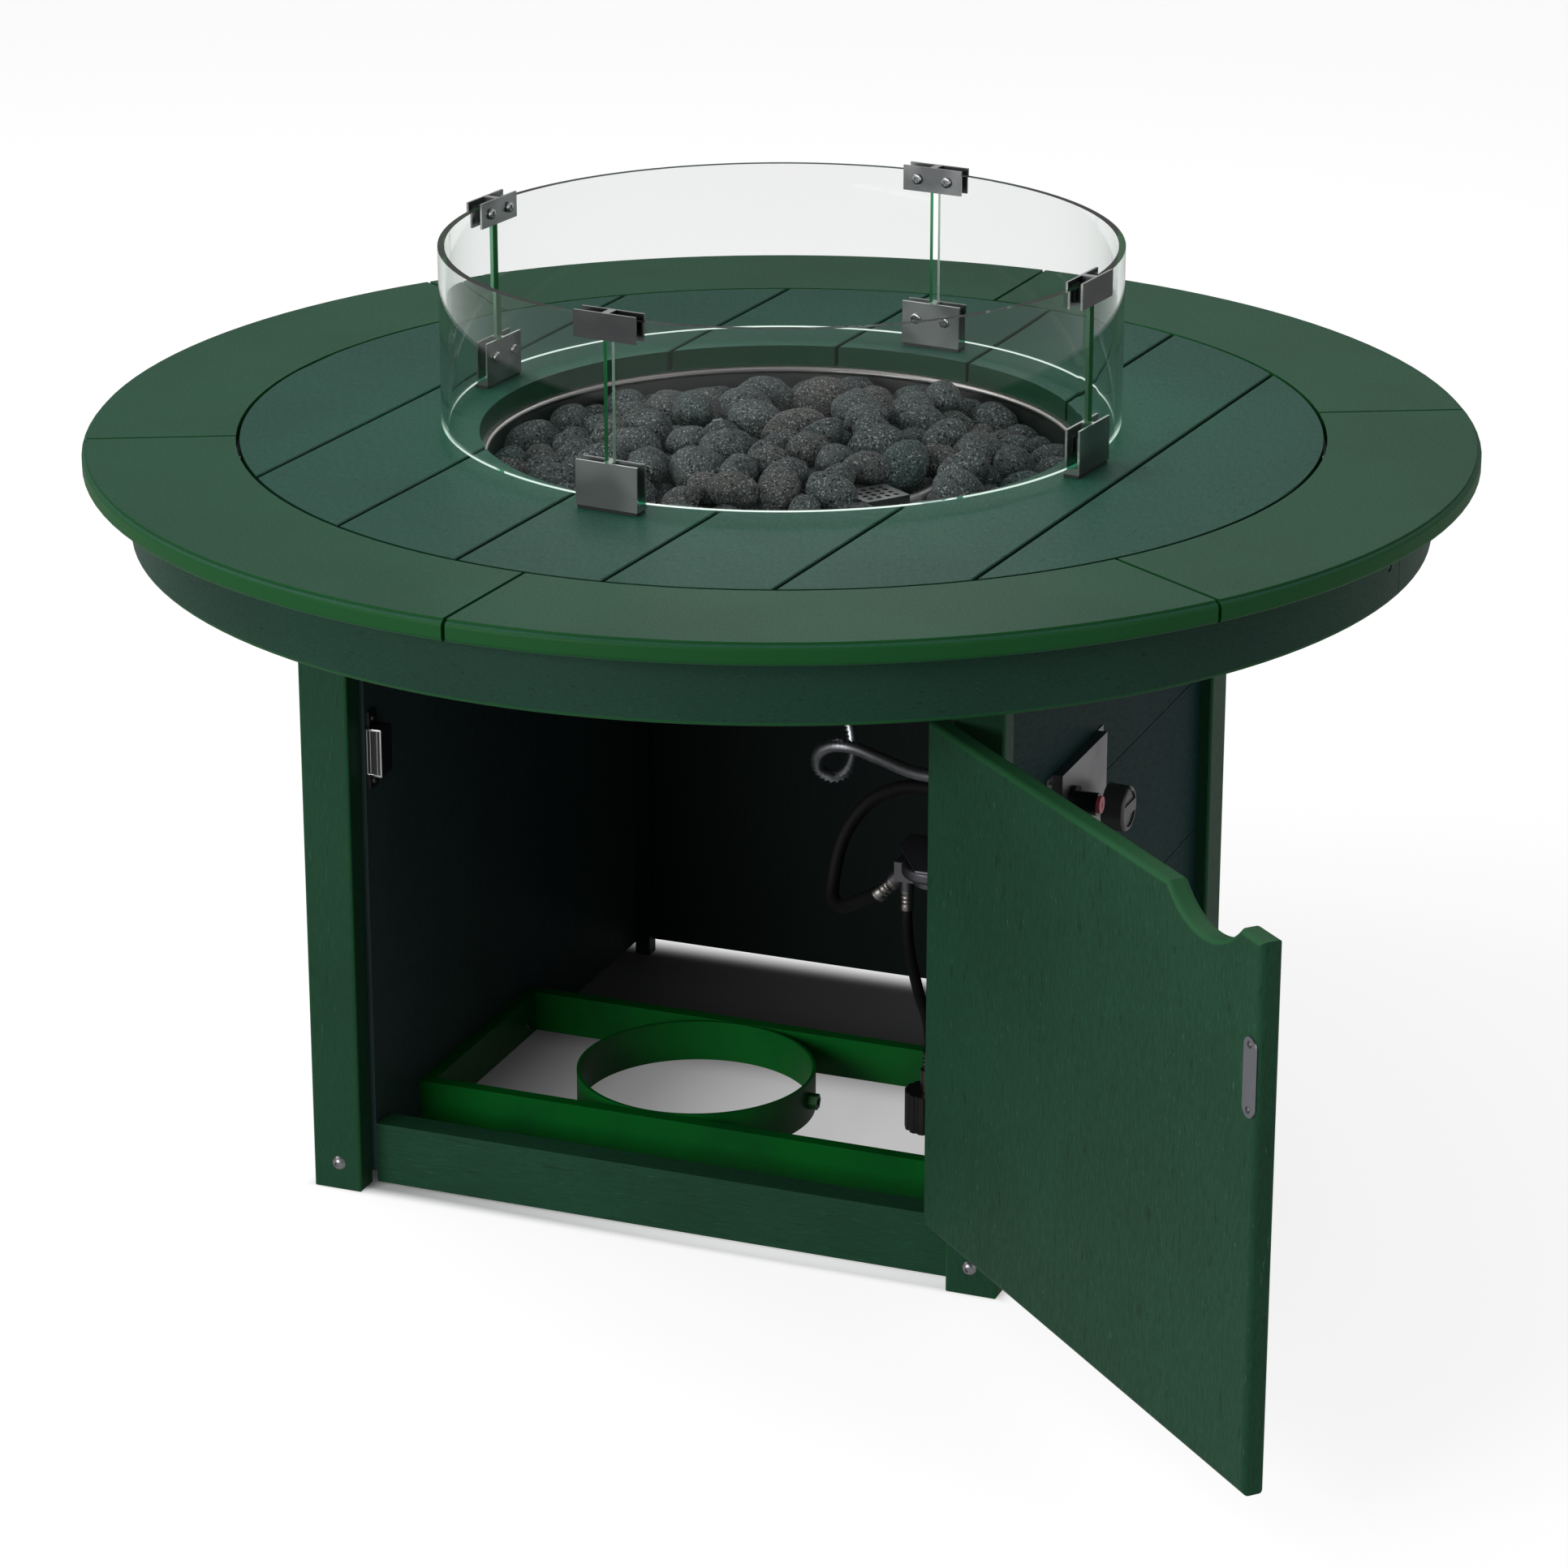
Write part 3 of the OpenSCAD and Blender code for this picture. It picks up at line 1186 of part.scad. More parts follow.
rim_boards();
top_plank_1();
top_plank_2();
top_plank_3();
top_plank_4();
top_plank_5();
top_plank_6();
top_plank_7();
battens();
apron_front();
apron_back();
apron_splice_blocks();
apron_screws();
front_post_left();
front_post_right();
rear_post_left();
rear_post_right();
side_boards_left();
side_boards_right();
inner_panel_left();
inner_panel_right();
rear_panel();
rear_corner_cleats();
bottom_rail();
top_rail();
door();
hinge_post_leaves();
hinge_door_leaves();
hinge_pins();
strike_plate();
strike_screws();
door_catch();
cabinet_screws();
post_bolts();
tank_frame();
tank_ring();
control_box();
gas_knob();
valve_stem();
gas_valve();
igniter_body();
igniter_button();
regulator();
regulator_bracket();
flex_hose();
gas_hose();
pigtail_hose();
coupling_nipple();
coupling_handwheel();
burner_pan();
burner_ring();
burner_inlet();
igniter_shroud();
igniter_electrode();
lava_stones();
glass_panels();
upper_clips();
lower_clips();
clip_screws();
clip_rubbers();
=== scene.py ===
import math

import bpy
import numpy as np
from mathutils import Euler, Matrix, Vector


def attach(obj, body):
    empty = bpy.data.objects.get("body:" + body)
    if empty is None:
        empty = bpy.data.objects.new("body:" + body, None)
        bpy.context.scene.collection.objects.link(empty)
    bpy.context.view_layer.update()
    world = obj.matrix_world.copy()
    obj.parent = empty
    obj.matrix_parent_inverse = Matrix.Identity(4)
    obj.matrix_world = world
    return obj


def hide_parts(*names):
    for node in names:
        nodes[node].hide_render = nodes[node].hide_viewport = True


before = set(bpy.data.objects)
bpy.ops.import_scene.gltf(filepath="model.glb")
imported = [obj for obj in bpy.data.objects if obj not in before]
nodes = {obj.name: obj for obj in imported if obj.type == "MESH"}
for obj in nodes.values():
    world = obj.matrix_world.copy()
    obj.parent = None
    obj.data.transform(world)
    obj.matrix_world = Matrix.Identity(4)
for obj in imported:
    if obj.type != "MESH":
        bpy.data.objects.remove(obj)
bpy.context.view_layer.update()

mm = 0.001


# Camera, from the photograph's perspective, in metres; the lens is for a sensor 36 mm wide
AZIMUTH, ELEVATION = math.radians(21.416), math.radians(20.037)
CAMERA_AT = (1.5754, -4.01095, 1.88509)
LENS, SENSOR_W, SEES_TO = 116.93, 36.0, 200


def add_camera():
    data = bpy.data.cameras.new("camera")
    data.sensor_width = SENSOR_W
    data.lens = LENS
    data.clip_end = SEES_TO
    camera = bpy.data.objects.new("camera", data)
    bpy.context.scene.collection.objects.link(camera)
    camera.location = CAMERA_AT
    away = Vector((-math.sin(AZIMUTH) * math.cos(ELEVATION), math.cos(AZIMUTH) * math.cos(ELEVATION),
                   -math.sin(ELEVATION)))
    camera.rotation_mode = "QUATERNION"
    camera.rotation_quaternion = away.to_track_quat("-Z", "Y")
    bpy.context.scene.camera = camera


add_camera()
bpy.context.scene.view_settings.view_transform = "Standard"


# Small helpers for modelling
def deselect():
    if bpy.context.object and bpy.context.object.mode != "OBJECT":
        bpy.ops.object.mode_set(mode="OBJECT")
    bpy.ops.object.select_all(action="DESELECT")


def pick(*objects):
    deselect()
    for o in objects:
        o.select_set(True)
    bpy.context.view_layer.objects.active = objects[0]


def settle(o):
    """Puts the piece's place into its mesh, so that its object sits at the origin."""
    pick(o)
    bpy.ops.object.transform_apply(location=True, rotation=True, scale=True)
    return o


def finish_modifiers(o):
    pick(o)
    for m in list(o.modifiers):
        bpy.ops.object.modifier_apply(modifier=m.name)
    return o


def copy_of(o, name):
    twin = o.copy()
    twin.data = o.data.copy()
    twin.name = name
    bpy.context.scene.collection.objects.link(twin)
    return twin


def joined(name, parts):
    pick(*parts)
    bpy.ops.object.join()
    whole = bpy.context.object
    whole.name = name
    return settle(whole)


def dress(o, body, finish, replaces=()):
    """Gives a piece its finish, its body and its slot, and hides the nodes it stands for."""
    o.data.materials.clear()
    o.data.materials.append(finish)
    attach(o, body)
    if replaces:
        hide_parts(*replaces)
    return o


# Node helpers
def linear(r, g, b):
    """A colour written as eight-bit sRGB."""
    values = [v / 255 for v in (r, g, b)]
    return tuple(v / 12.92 if v <= 0.04045 else ((v + 0.055) / 1.055) ** 2.4 for v in values) + (1.0,)


class Nodes:
    """A node tree with short words for adding and linking."""

    def __init__(self, tree):
        self.tree = tree

    def add(self, kind, **settings):
        n = self.tree.nodes.new("ShaderNode" + kind)
        for key, value in settings.items():
            setattr(n, key, value)
        return n

    def link(self, a, b):
        self.tree.links.new(a, b)

    def math(self, operation, a, b=0.0):
        n = self.add("Math", operation=operation)
        for socket, value in zip(n.inputs, (a, b)):
            if isinstance(value, bpy.types.NodeSocket):
                self.link(value, socket)
            else:
                socket.default_value = value
        return n.outputs[0]

    def ramp(self, value, low, high, to_low=0.0, to_high=1.0):
        n = self.add("MapRange")
        n.interpolation_type = "SMOOTHSTEP"
        self.link(value, n.inputs["Value"])
        for key, number in zip(("From Min", "From Max", "To Min", "To Max"), (low, high, to_low, to_high)):
            n.inputs[key].default_value = number
        return n.outputs["Result"]

    def mix(self, share, a, b):
        n = self.add("Mix", data_type="RGBA")
        for socket, value in ((n.inputs["Factor"], share), (n.inputs[6], a), (n.inputs[7], b)):
            if isinstance(value, bpy.types.NodeSocket):
                self.link(value, socket)
            else:
                socket.default_value = value
        return n.outputs[2]

    def noise(self, vector, scale, detail=2.0, roughness=0.5):
        n = self.add("TexNoise")
        self.link(vector, n.inputs["Vector"])
        n.inputs["Scale"].default_value = scale
        n.inputs["Detail"].default_value = detail
        n.inputs["Roughness"].default_value = roughness
        return n.outputs["Fac"]

    def stretched(self, vector, scale, turn=0.0):
        n = self.add("Mapping")
        self.link(vector, n.inputs["Vector"])
        if isinstance(scale, bpy.types.NodeSocket):
            self.link(scale, n.inputs["Scale"])
        else:
            n.inputs["Scale"].default_value = scale
        n.inputs["Rotation"].default_value = (0, 0, turn)
        return n.outputs["Vector"]

    def parts(self, vector):
        """The x, y and z of a vector."""
        n = self.add("SeparateXYZ")
        self.link(vector, n.inputs[0])
        return n.outputs


def new_group(name, inputs, outputs):
    tree = bpy.data.node_groups.new(name, "ShaderNodeTree")
    for label, kind, value in inputs:
        socket = tree.interface.new_socket(label, in_out="INPUT", socket_type="NodeSocket" + kind)
        if value is not None:
            socket.default_value = value
    for label, kind in outputs:
        tree.interface.new_socket(label, in_out="OUTPUT", socket_type="NodeSocket" + kind)
    put, out = tree.nodes.new("NodeGroupInput").outputs, tree.nodes.new("NodeGroupOutput").inputs
    return tree, Nodes(tree), put, out


def place_group(n, tree, **values):
    g = n.add("Group", node_tree=tree)
    for key, value in values.items():
        socket = g.inputs[key.replace("_", " ")]
        if isinstance(value, bpy.types.NodeSocket):
            n.link(value, socket)
        else:
            socket.default_value = value
    return g.outputs


# Shared effects
def make_board_grain():
    """Fine streaks, pale flecks and broad clouds of a moulded recycled board."""
    tree, n, put, out = new_group(
        "Board grain",
        [("Position", "Vector", None), ("Stretch", "Vector", (900, 900, 90)), ("Body", "Color", None),
         ("Shade", "Color", None), ("Fleck", "Color", None), ("Fleck share", "Float", 0.5)],
        [("Color", "Color"), ("Roughness", "Float"), ("Height", "Float")])
    along = n.stretched(put["Position"], put["Stretch"])
    streak = n.noise(along, 1.0, 3.0, 0.65)
    fleck = n.ramp(n.noise(along, 0.8, 1.0), 0.68, 0.78)
    cloud = n.noise(put["Position"], 7.0, 3.0)
    speck = n.noise(put["Position"], 1100.0, 1.0)
    stroke = n.ramp(n.noise(n.stretched(along, (0.45, 0.45, 0.45)), 1.0, 2.0, 0.4), 0.66, 0.76)
    shade = n.math("ADD", n.ramp(streak, 0.3, 0.7, 0.0, 0.6), n.ramp(cloud, 0.35, 0.65, 0.0, 0.4))
    colour = n.mix(shade, put["Body"], put["Shade"])
    colour = n.mix(n.ramp(speck, 0.35, 0.65, 0.0, 0.35), colour, put["Shade"])
    colour = n.mix(n.math("MULTIPLY", stroke, 0.45), colour, n.mix(0.75, put["Shade"], (0, 0, 0, 1)))
    n.link(n.mix(n.math("MULTIPLY", fleck, put["Fleck share"]), colour, put["Fleck"]), out["Color"])
    n.link(n.ramp(streak, 0.2, 0.8, 0.46, 0.60), out["Roughness"])
    n.link(n.math("ADD", n.math("MULTIPLY", streak, 0.6), n.math("MULTIPLY", speck, 0.4)), out["Height"])
    return tree


def make_edge_masks():
    """Masks from the surface's direction: rounded edges of a square board, sides and rounds of a disc."""
    tree, n, put, out = new_group(
        "Edge masks", [("Normal", "Vector", None)],
        [("Board edge", "Float"), ("Side", "Float"), ("Round", "Float"), ("Upward", "Float")])
    facing = n.parts(put["Normal"])
    x, y, z = [n.math("ABSOLUTE", share) for share in facing]
    largest = n.math("MAXIMUM", n.math("MAXIMUM", x, y), z)
    n.link(n.ramp(largest, 0.80, 0.995, 1.0, 0.0), out["Board edge"])
    n.link(n.ramp(z, 0.35, 0.95, 1.0, 0.0), out["Side"])
    n.link(n.ramp(facing[2], 0.1, 0.5), out["Upward"])
    slope = n.math("MULTIPLY", z, n.math("SUBTRACT", 1.0, z))
    n.link(n.ramp(slope, 0.02, 0.2), out["Round"])
    return tree


def make_brushed():
    """Fine lines of brushed or rolled metal with faint stains."""
    tree, n, put, out = new_group(
        "Brushed metal",
        [("Position", "Vector", None), ("Stretch", "Vector", (40, 40, 1500)), ("Body", "Color", None),
         ("Stain", "Color", None), ("Smooth", "Float", 0.25), ("Rough", "Float", 0.42)],
        [("Color", "Color"), ("Roughness", "Float"), ("Height", "Float")])
    line = n.noise(n.stretched(put["Position"], put["Stretch"]), 1.0, 4.0, 0.7)
    cloud = n.noise(put["Position"], 14.0, 4.0, 0.6)
    n.link(n.mix(n.ramp(cloud, 0.4, 0.75, 0.0, 0.7), put["Body"], put["Stain"]), out["Color"])
    spread = n.math("SUBTRACT", put["Rough"], put["Smooth"])
    share = n.math("ADD", n.math("MULTIPLY", line, 0.6), n.math("MULTIPLY", cloud, 0.4))
    n.link(n.math("ADD", put["Smooth"], n.math("MULTIPLY", spread, share)), out["Roughness"])
    n.link(line, out["Height"])
    return tree


def make_pores():
    """Pits, painted near black as the shade in them, and pale crystals of worn lava."""
    tree, n, put, out = new_group("Lava pores", [("Position", "Vector", None), ("Tint", "Float", 0.5)],
                                  [("Color", "Color"), ("Height", "Float")])
    wander = n.add("TexNoise")
    n.link(put["Position"], wander.inputs["Vector"])
    wander.inputs["Scale"].default_value = 300.0
    shift = n.add("VectorMath", operation="MULTIPLY_ADD")
    n.link(wander.outputs["Color"], shift.inputs[0])
    shift.inputs[1].default_value = (0.0022, 0.0022, 0.0022)
    n.link(put["Position"], shift.inputs[2])
    loose = shift.outputs["Vector"]
    patch = n.noise(put["Position"], 55.0, 3.0, 0.6)
    fine = n.noise(put["Position"], 900.0, 4.0, 0.75)
    pits = []
    # Wide and narrow pits: cells to the metre, reach of a pit in its cell, share of cells left whole
    for scale, reach, whole in ((230.0, 0.36, 0.30), (420.0, 0.42, 0.25)):
        cells = n.add("TexVoronoi")
        n.link(loose, cells.inputs["Vector"])
        cells.inputs["Scale"].default_value = scale
        kept = n.add("SeparateColor")
        n.link(cells.outputs["Color"], kept.inputs[0])
        hole = n.ramp(cells.outputs["Distance"], 0.12, reach, 1.0, 0.0)
        pits.append(n.math("MULTIPLY", hole, n.ramp(kept.outputs[0], whole, whole + 0.06)))
    pit = n.math("MAXIMUM", pits[0], pits[1])
    crystal = n.ramp(n.noise(put["Position"], 520.0, 1.0), 0.58, 0.68)
    grey = n.mix(n.ramp(put["Tint"], 0.72, 0.97), linear(80, 86, 88), linear(94, 90, 88))
    grey = n.mix(n.ramp(put["Tint"], 0.12, 0.03), grey, linear(62, 82, 81))
    grey = n.mix(n.ramp(patch, 0.35, 0.65, 0.0, 0.5), grey, linear(66, 72, 74))
    grey = n.mix(n.ramp(fine, 0.35, 0.7, 0.0, 0.45), grey, linear(46, 50, 52))
    # painted shade: the pits are painted near black
    grey = n.mix(pit, grey, linear(8, 9, 10))
    n.link(n.mix(n.math("MULTIPLY", crystal, 0.65), grey, linear(168, 172, 172)), out["Color"])
    height = n.math("SUBTRACT", n.math("MULTIPLY", fine, 0.45), pit)
    n.link(height, out["Height"])
    return tree


board_grain = make_board_grain()
edge_masks = make_edge_masks()
brushed_metal = make_brushed()
lava_pores = make_pores()


def start_material(name):
    m = bpy.data.materials.new(name)
    m.use_nodes = True
    n = Nodes(m.node_tree)
    shader = m.node_tree.nodes["Principled BSDF"]
    place = n.add("TexCoord")
    return m, n, shader, place


def bump(n, shader, height, strength, distance):
    b = n.add("Bump")
    b.inputs["Strength"].default_value = strength
    b.inputs["Distance"].default_value = distance
    n.link(height, b.inputs["Height"])
    n.link(b.outputs["Normal"], shader.inputs["Normal"])


def board(name, body, shade, edge, stretch, fleck_share, turn=0.0, mask="Board edge", gloss=0.16):
    """A green board: grain along its length, machined edges cleaner and brighter."""
    m, n, shader, place = start_material(name)
    position = place.outputs["Object"]
    normal = place.outputs["Normal"]
    if turn:
        position = n.stretched(position, (1, 1, 1), turn)
        normal = n.stretched(normal, (1, 1, 1), turn)
    grain = place_group(n, board_grain, Position=position, Stretch=stretch, Body=body, Shade=shade,
                        Fleck=BOARD_FLECK, Fleck_share=fleck_share)
    masks = place_group(n, edge_masks, Normal=normal)
    n.link(n.mix(n.math("MULTIPLY", masks[mask], 0.85), grain["Color"], edge), shader.inputs["Base Color"])
    n.link(grain["Roughness"], shader.inputs["Roughness"])
    shader.inputs["Specular IOR Level"].default_value = gloss
    bump(n, shader, grain["Height"], 0.35, 0.0005)
    return m


def metal(name, body, stain, stretch, smooth, rough, metallic=1.0, lines=0.12):
    m, n, shader, place = start_material(name)
    look = place_group(n, brushed_metal, Position=place.outputs["Object"], Stretch=stretch, Body=body,
                       Stain=stain, Smooth=smooth, Rough=rough)
    n.link(look["Color"], shader.inputs["Base Color"])
    n.link(look["Roughness"], shader.inputs["Roughness"])
    shader.inputs["Metallic"].default_value = metallic
    bump(n, shader, look["Height"], lines, 0.0002)
    return m


def second_layer(m):
    """The nodes, shader, coordinates and present colour of a finish that is painted over."""
    n = Nodes(m.node_tree)
    shader = m.node_tree.nodes["Principled BSDF"]
    place = n.add("TexCoord")
    return n, shader, place, shader.inputs["Base Color"].links[0].from_socket


def paint_shade_on_outer_plates(m, share):
    """Painted shade: the clips' outer plates, facing away from the guard's middle, are painted darker than
    the inner ones.
    """
    n, shader, place, body = second_layer(m)
    flat = n.add("VectorMath", operation="MULTIPLY")
    n.link(place.outputs["Object"], flat.inputs[0])
    flat.inputs[1].default_value = (1, 1, 0)
    outward = n.add("VectorMath", operation="NORMALIZE")
    n.link(flat.outputs["Vector"], outward.inputs[0])
    facing = n.add("VectorMath", operation="DOT_PRODUCT")
    n.link(place.outputs["Normal"], facing.inputs[0])
    n.link(outward.outputs["Vector"], facing.inputs[1])
    # painted shade on the faces that look outward
    mask = n.math("MULTIPLY", n.ramp(facing.outputs["Value"], 0.5, 0.9), share)
    n.link(n.mix(mask, body, (0.02, 0.02, 0.02, 1)), shader.inputs["Base Color"])


def paint_inner_face_shade(m, share):
    """Painted shade: the rear panel's face towards the door is painted dark, as the shade inside the cabinet;
    its outside keeps its green.
    """
    n, shader, place, body = second_layer(m)
    facing = n.parts(place.outputs["Normal"])
    mask = n.math("MULTIPLY", n.ramp(facing[1], -0.9, -0.5, 1.0, 0.0), share)
    n.link(n.mix(mask, body, linear(12, 12, 16)), shader.inputs["Base Color"])


def paint_highlight_on_tops(m, shine):
    """Painted highlight: cut edges that face up are painted light. Painted reflection: the wide faces are
    painted softly darker in patches along their length.
    """
    n, shader, place, body = second_layer(m)
    facing = n.parts(place.outputs["Normal"])
    # painted reflection: soft darker patches stand in for the steel's reflections
    soft = n.ramp(n.noise(place.outputs["Object"], 22.0, 0.0), 0.38, 0.62)
    body = n.mix(n.math("MULTIPLY", soft, 0.45), body, (0.04, 0.045, 0.045, 1))
    # painted highlight on what faces up
    n.link(n.mix(n.ramp(facing[2], 0.6, 0.9), body, shine), shader.inputs["Base Color"])


def paint_rim_highlight(m, low, high):
    """Above a height the metal is painted bright: a painted highlight on the rim."""
    n, shader, place, body = second_layer(m)
    height = n.parts(place.outputs["Object"])[2]
    rim_highlight = n.mix(n.ramp(height, low, high), body, (0.66, 0.60, 0.60, 1))
    n.link(rim_highlight, shader.inputs["Base Color"])


def soften_shine(m, level):
    """Sets how strongly a surface that is no bare metal reflects."""
    m.node_tree.nodes["Principled BSDF"].inputs["Specular IOR Level"].default_value = level


def moulded(name, body, worn, roughness, bumpiness=0.15, scale=900.0):
    """Moulded plastic or rubber with a fine skin."""
    m, n, shader, place = start_material(name)
    skin = n.noise(place.outputs["Object"], scale, 2.0)
    dust = n.noise(place.outputs["Object"], 40.0, 4.0, 0.6)
    n.link(n.mix(n.ramp(dust, 0.45, 0.8, 0.0, 0.8), body, worn), shader.inputs["Base Color"])
    n.link(n.ramp(skin, 0.2, 0.8, roughness - 0.05, roughness + 0.08), shader.inputs["Roughness"])
    bump(n, shader, skin, bumpiness, 0.0003)
    return m


BOARD_GREEN, BOARD_SHADE = linear(36, 82, 57), linear(27, 66, 45)
BOARD_EDGE, BOARD_FLECK = linear(30, 90, 46), linear(70, 120, 86)
TOP_GREEN, TOP_SHADE, TOP_EDGE = linear(43, 95, 79), linear(34, 80, 68), linear(20, 84, 34)
# How the grain is turned about the vertical, for the planks and for the door as it stands open
PLANK_TURN, DOOR_TURN = math.radians(4.15), math.radians(-136.75)

# Grain to the metre along x, y and z: long along a board, even on what has no length
UPRIGHT, ACROSS, INWARD = (900, 900, 70), (70, 900, 900), (900, 70, 900)
EVEN, CLIP_LINES, PANEL_LINES = (90, 90, 90), (40, 40, 1600), (1200, 60, 1200)

top_plank = board("top planks", TOP_GREEN, TOP_SHADE, linear(14, 50, 30), (700, 120, 700), 0.25,
                  turn=PLANK_TURN, mask="Side")
top_rim = board("top rim", linear(44, 97, 70), linear(36, 83, 61), TOP_EDGE, (520, 520, 520), 0.3,
                mask="Side")
apron_green = board("apron", linear(33, 72, 56), linear(26, 60, 48), BOARD_EDGE, (260, 260, 900), 0.2,
                    mask="Round")
# The inside panels' green is lighter and greyer than the boards' own: painted light for walls the lamps
# hardly reach
inner_painted_light_green = board("cabinet inside", linear(66, 84, 84), linear(56, 72, 74), BOARD_GREEN, UPRIGHT, 0.1)
rear_green = board("cabinet back", linear(32, 64, 54), linear(25, 52, 44), BOARD_GREEN, UPRIGHT, 0.1)
upright_green = board("upright boards", BOARD_GREEN, BOARD_SHADE, BOARD_EDGE, UPRIGHT, 0.25)
rail_green = board("rails", BOARD_GREEN, BOARD_SHADE, BOARD_EDGE, ACROSS, 0.25)
side_green = board("side boards", linear(30, 62, 60), linear(23, 50, 50), BOARD_EDGE, INWARD, 0.2, gloss=0.04)
door_green = board("door", BOARD_GREEN, BOARD_SHADE, linear(46, 100, 62), (480, 480, 110), 0.5,
                   turn=DOOR_TURN, mask="Upward")

frame_green = metal("green enamel", linear(5, 100, 32), linear(6, 80, 32), (30, 30, 30), 0.30, 0.42,
                    metallic=0.0, lines=0.03)
steel = metal("plain steel", (0.24, 0.24, 0.27, 1), (0.17, 0.17, 0.18, 1), (60, 60, 900), 0.30, 0.45)
bright_steel = metal("bright steel", (0.50, 0.50, 0.51, 1), (0.36, 0.36, 0.36, 1), EVEN, 0.14, 0.26)
bolt_steel = metal("bolt steel", (0.30, 0.30, 0.31, 1), (0.2, 0.2, 0.2, 1), EVEN, 0.26, 0.38)
dark_screw = metal("dull screw steel", (0.10, 0.10, 0.10, 1), (0.06, 0.06, 0.06, 1), EVEN, 0.32, 0.46)
clip_steel = metal("clip steel", (0.34, 0.35, 0.35, 1), (0.20, 0.205, 0.205, 1), CLIP_LINES, 0.24, 0.40)
# The upper clips' steel: a copy of the clip steel whose outer plates carry painted shade
shaded_upper_clip_steel = metal("upper clip steel", (0.34, 0.34, 0.35, 1), (0.18, 0.18, 0.185, 1), CLIP_LINES,
                        0.24, 0.40)
panel_steel = metal("panel steel", (0.22, 0.215, 0.225, 1), (0.15, 0.14, 0.15, 1), PANEL_LINES, 0.32, 0.46)
pan_steel = metal("pan steel", (0.26, 0.25, 0.25, 1), (0.16, 0.15, 0.15, 1), (60, 60, 1500), 0.26, 0.42)
burner_steel = metal("burner steel", (0.22, 0.22, 0.22, 1), (0.14, 0.14, 0.14, 1), EVEN, 0.32, 0.46)
shroud_steel = metal("shroud steel", (0.28, 0.285, 0.285, 1), (0.18, 0.185, 0.185, 1), EVEN, 0.22, 0.36)
flex_steel = metal("connector steel", (0.60, 0.61, 0.64, 1), (0.42, 0.43, 0.46, 1), EVEN, 0.30, 0.42)
fitting_metal = metal("fitting metal", (0.20, 0.19, 0.18, 1), (0.13, 0.12, 0.11, 1), EVEN, 0.28, 0.44)
cast_metal = metal("cast metal", (0.10, 0.10, 0.11, 1), (0.06, 0.06, 0.07, 1), (400, 400, 400), 0.4, 0.6)
knob_metal = metal("knob metal", (0.09, 0.09, 0.09, 1), (0.06, 0.06, 0.06, 1), (300, 300, 300), 0.30, 0.42,
                   metallic=0.6)
# Between these heights, at its rim, the pan's steel is painted bright as a highlight, in metres
PAN_RIM_FROM, PAN_RIM_TO = 0.6285, 0.6300
# Painted shade on the upper clips' outer plates
paint_shade_on_outer_plates(shaded_upper_clip_steel, 0.80)
# Painted shade on the rear panel's inside
paint_inner_face_shade(rear_green, 0.78)
# Painted highlights on the clips' upward edges, painted reflection patches on their faces
paint_highlight_on_tops(clip_steel, (0.55, 0.56, 0.56, 1))
paint_highlight_on_tops(shaded_upper_clip_steel, (0.50, 0.51, 0.52, 1))
# Painted highlight on the pan's rim
paint_rim_highlight(pan_steel, PAN_RIM_FROM, PAN_RIM_TO)
black_plastic = moulded("black plastic", linear(14, 14, 15), linear(26, 26, 27), 0.45)
gloss_black = moulded("glossy black plastic", linear(14, 14, 15), linear(24, 24, 25), 0.25, 0.05)
button_red = moulded("button plastic", linear(196, 84, 98), linear(176, 70, 84), 0.28, 0.05)
hose_rubber = moulded("hose rubber", linear(9, 9, 10), linear(15, 15, 15), 0.66, 0.3, 1400.0)
clip_rubber = moulded("clip rubber", linear(12, 12, 12), linear(24, 24, 24), 0.6)
ceramic = moulded("glazed ceramic", linear(226, 222, 212), linear(206, 198, 182), 0.22, 0.04)
soften_shine(frame_green, 0.25)
soften_shine(hose_rubber, 0.2)

# The guard's low edge lies under the first of these heights and its high edge over the second, in metres:
# below, the foot is painted bright as light; above, the top is painted dark as shade
GLASS_FOOT, GLASS_HEAD = 0.72, 0.76
# Below real glass, to match the photograph's weak reflections
GLASS_INDEX = 1.22
GLASS_DENSITY = 7.0


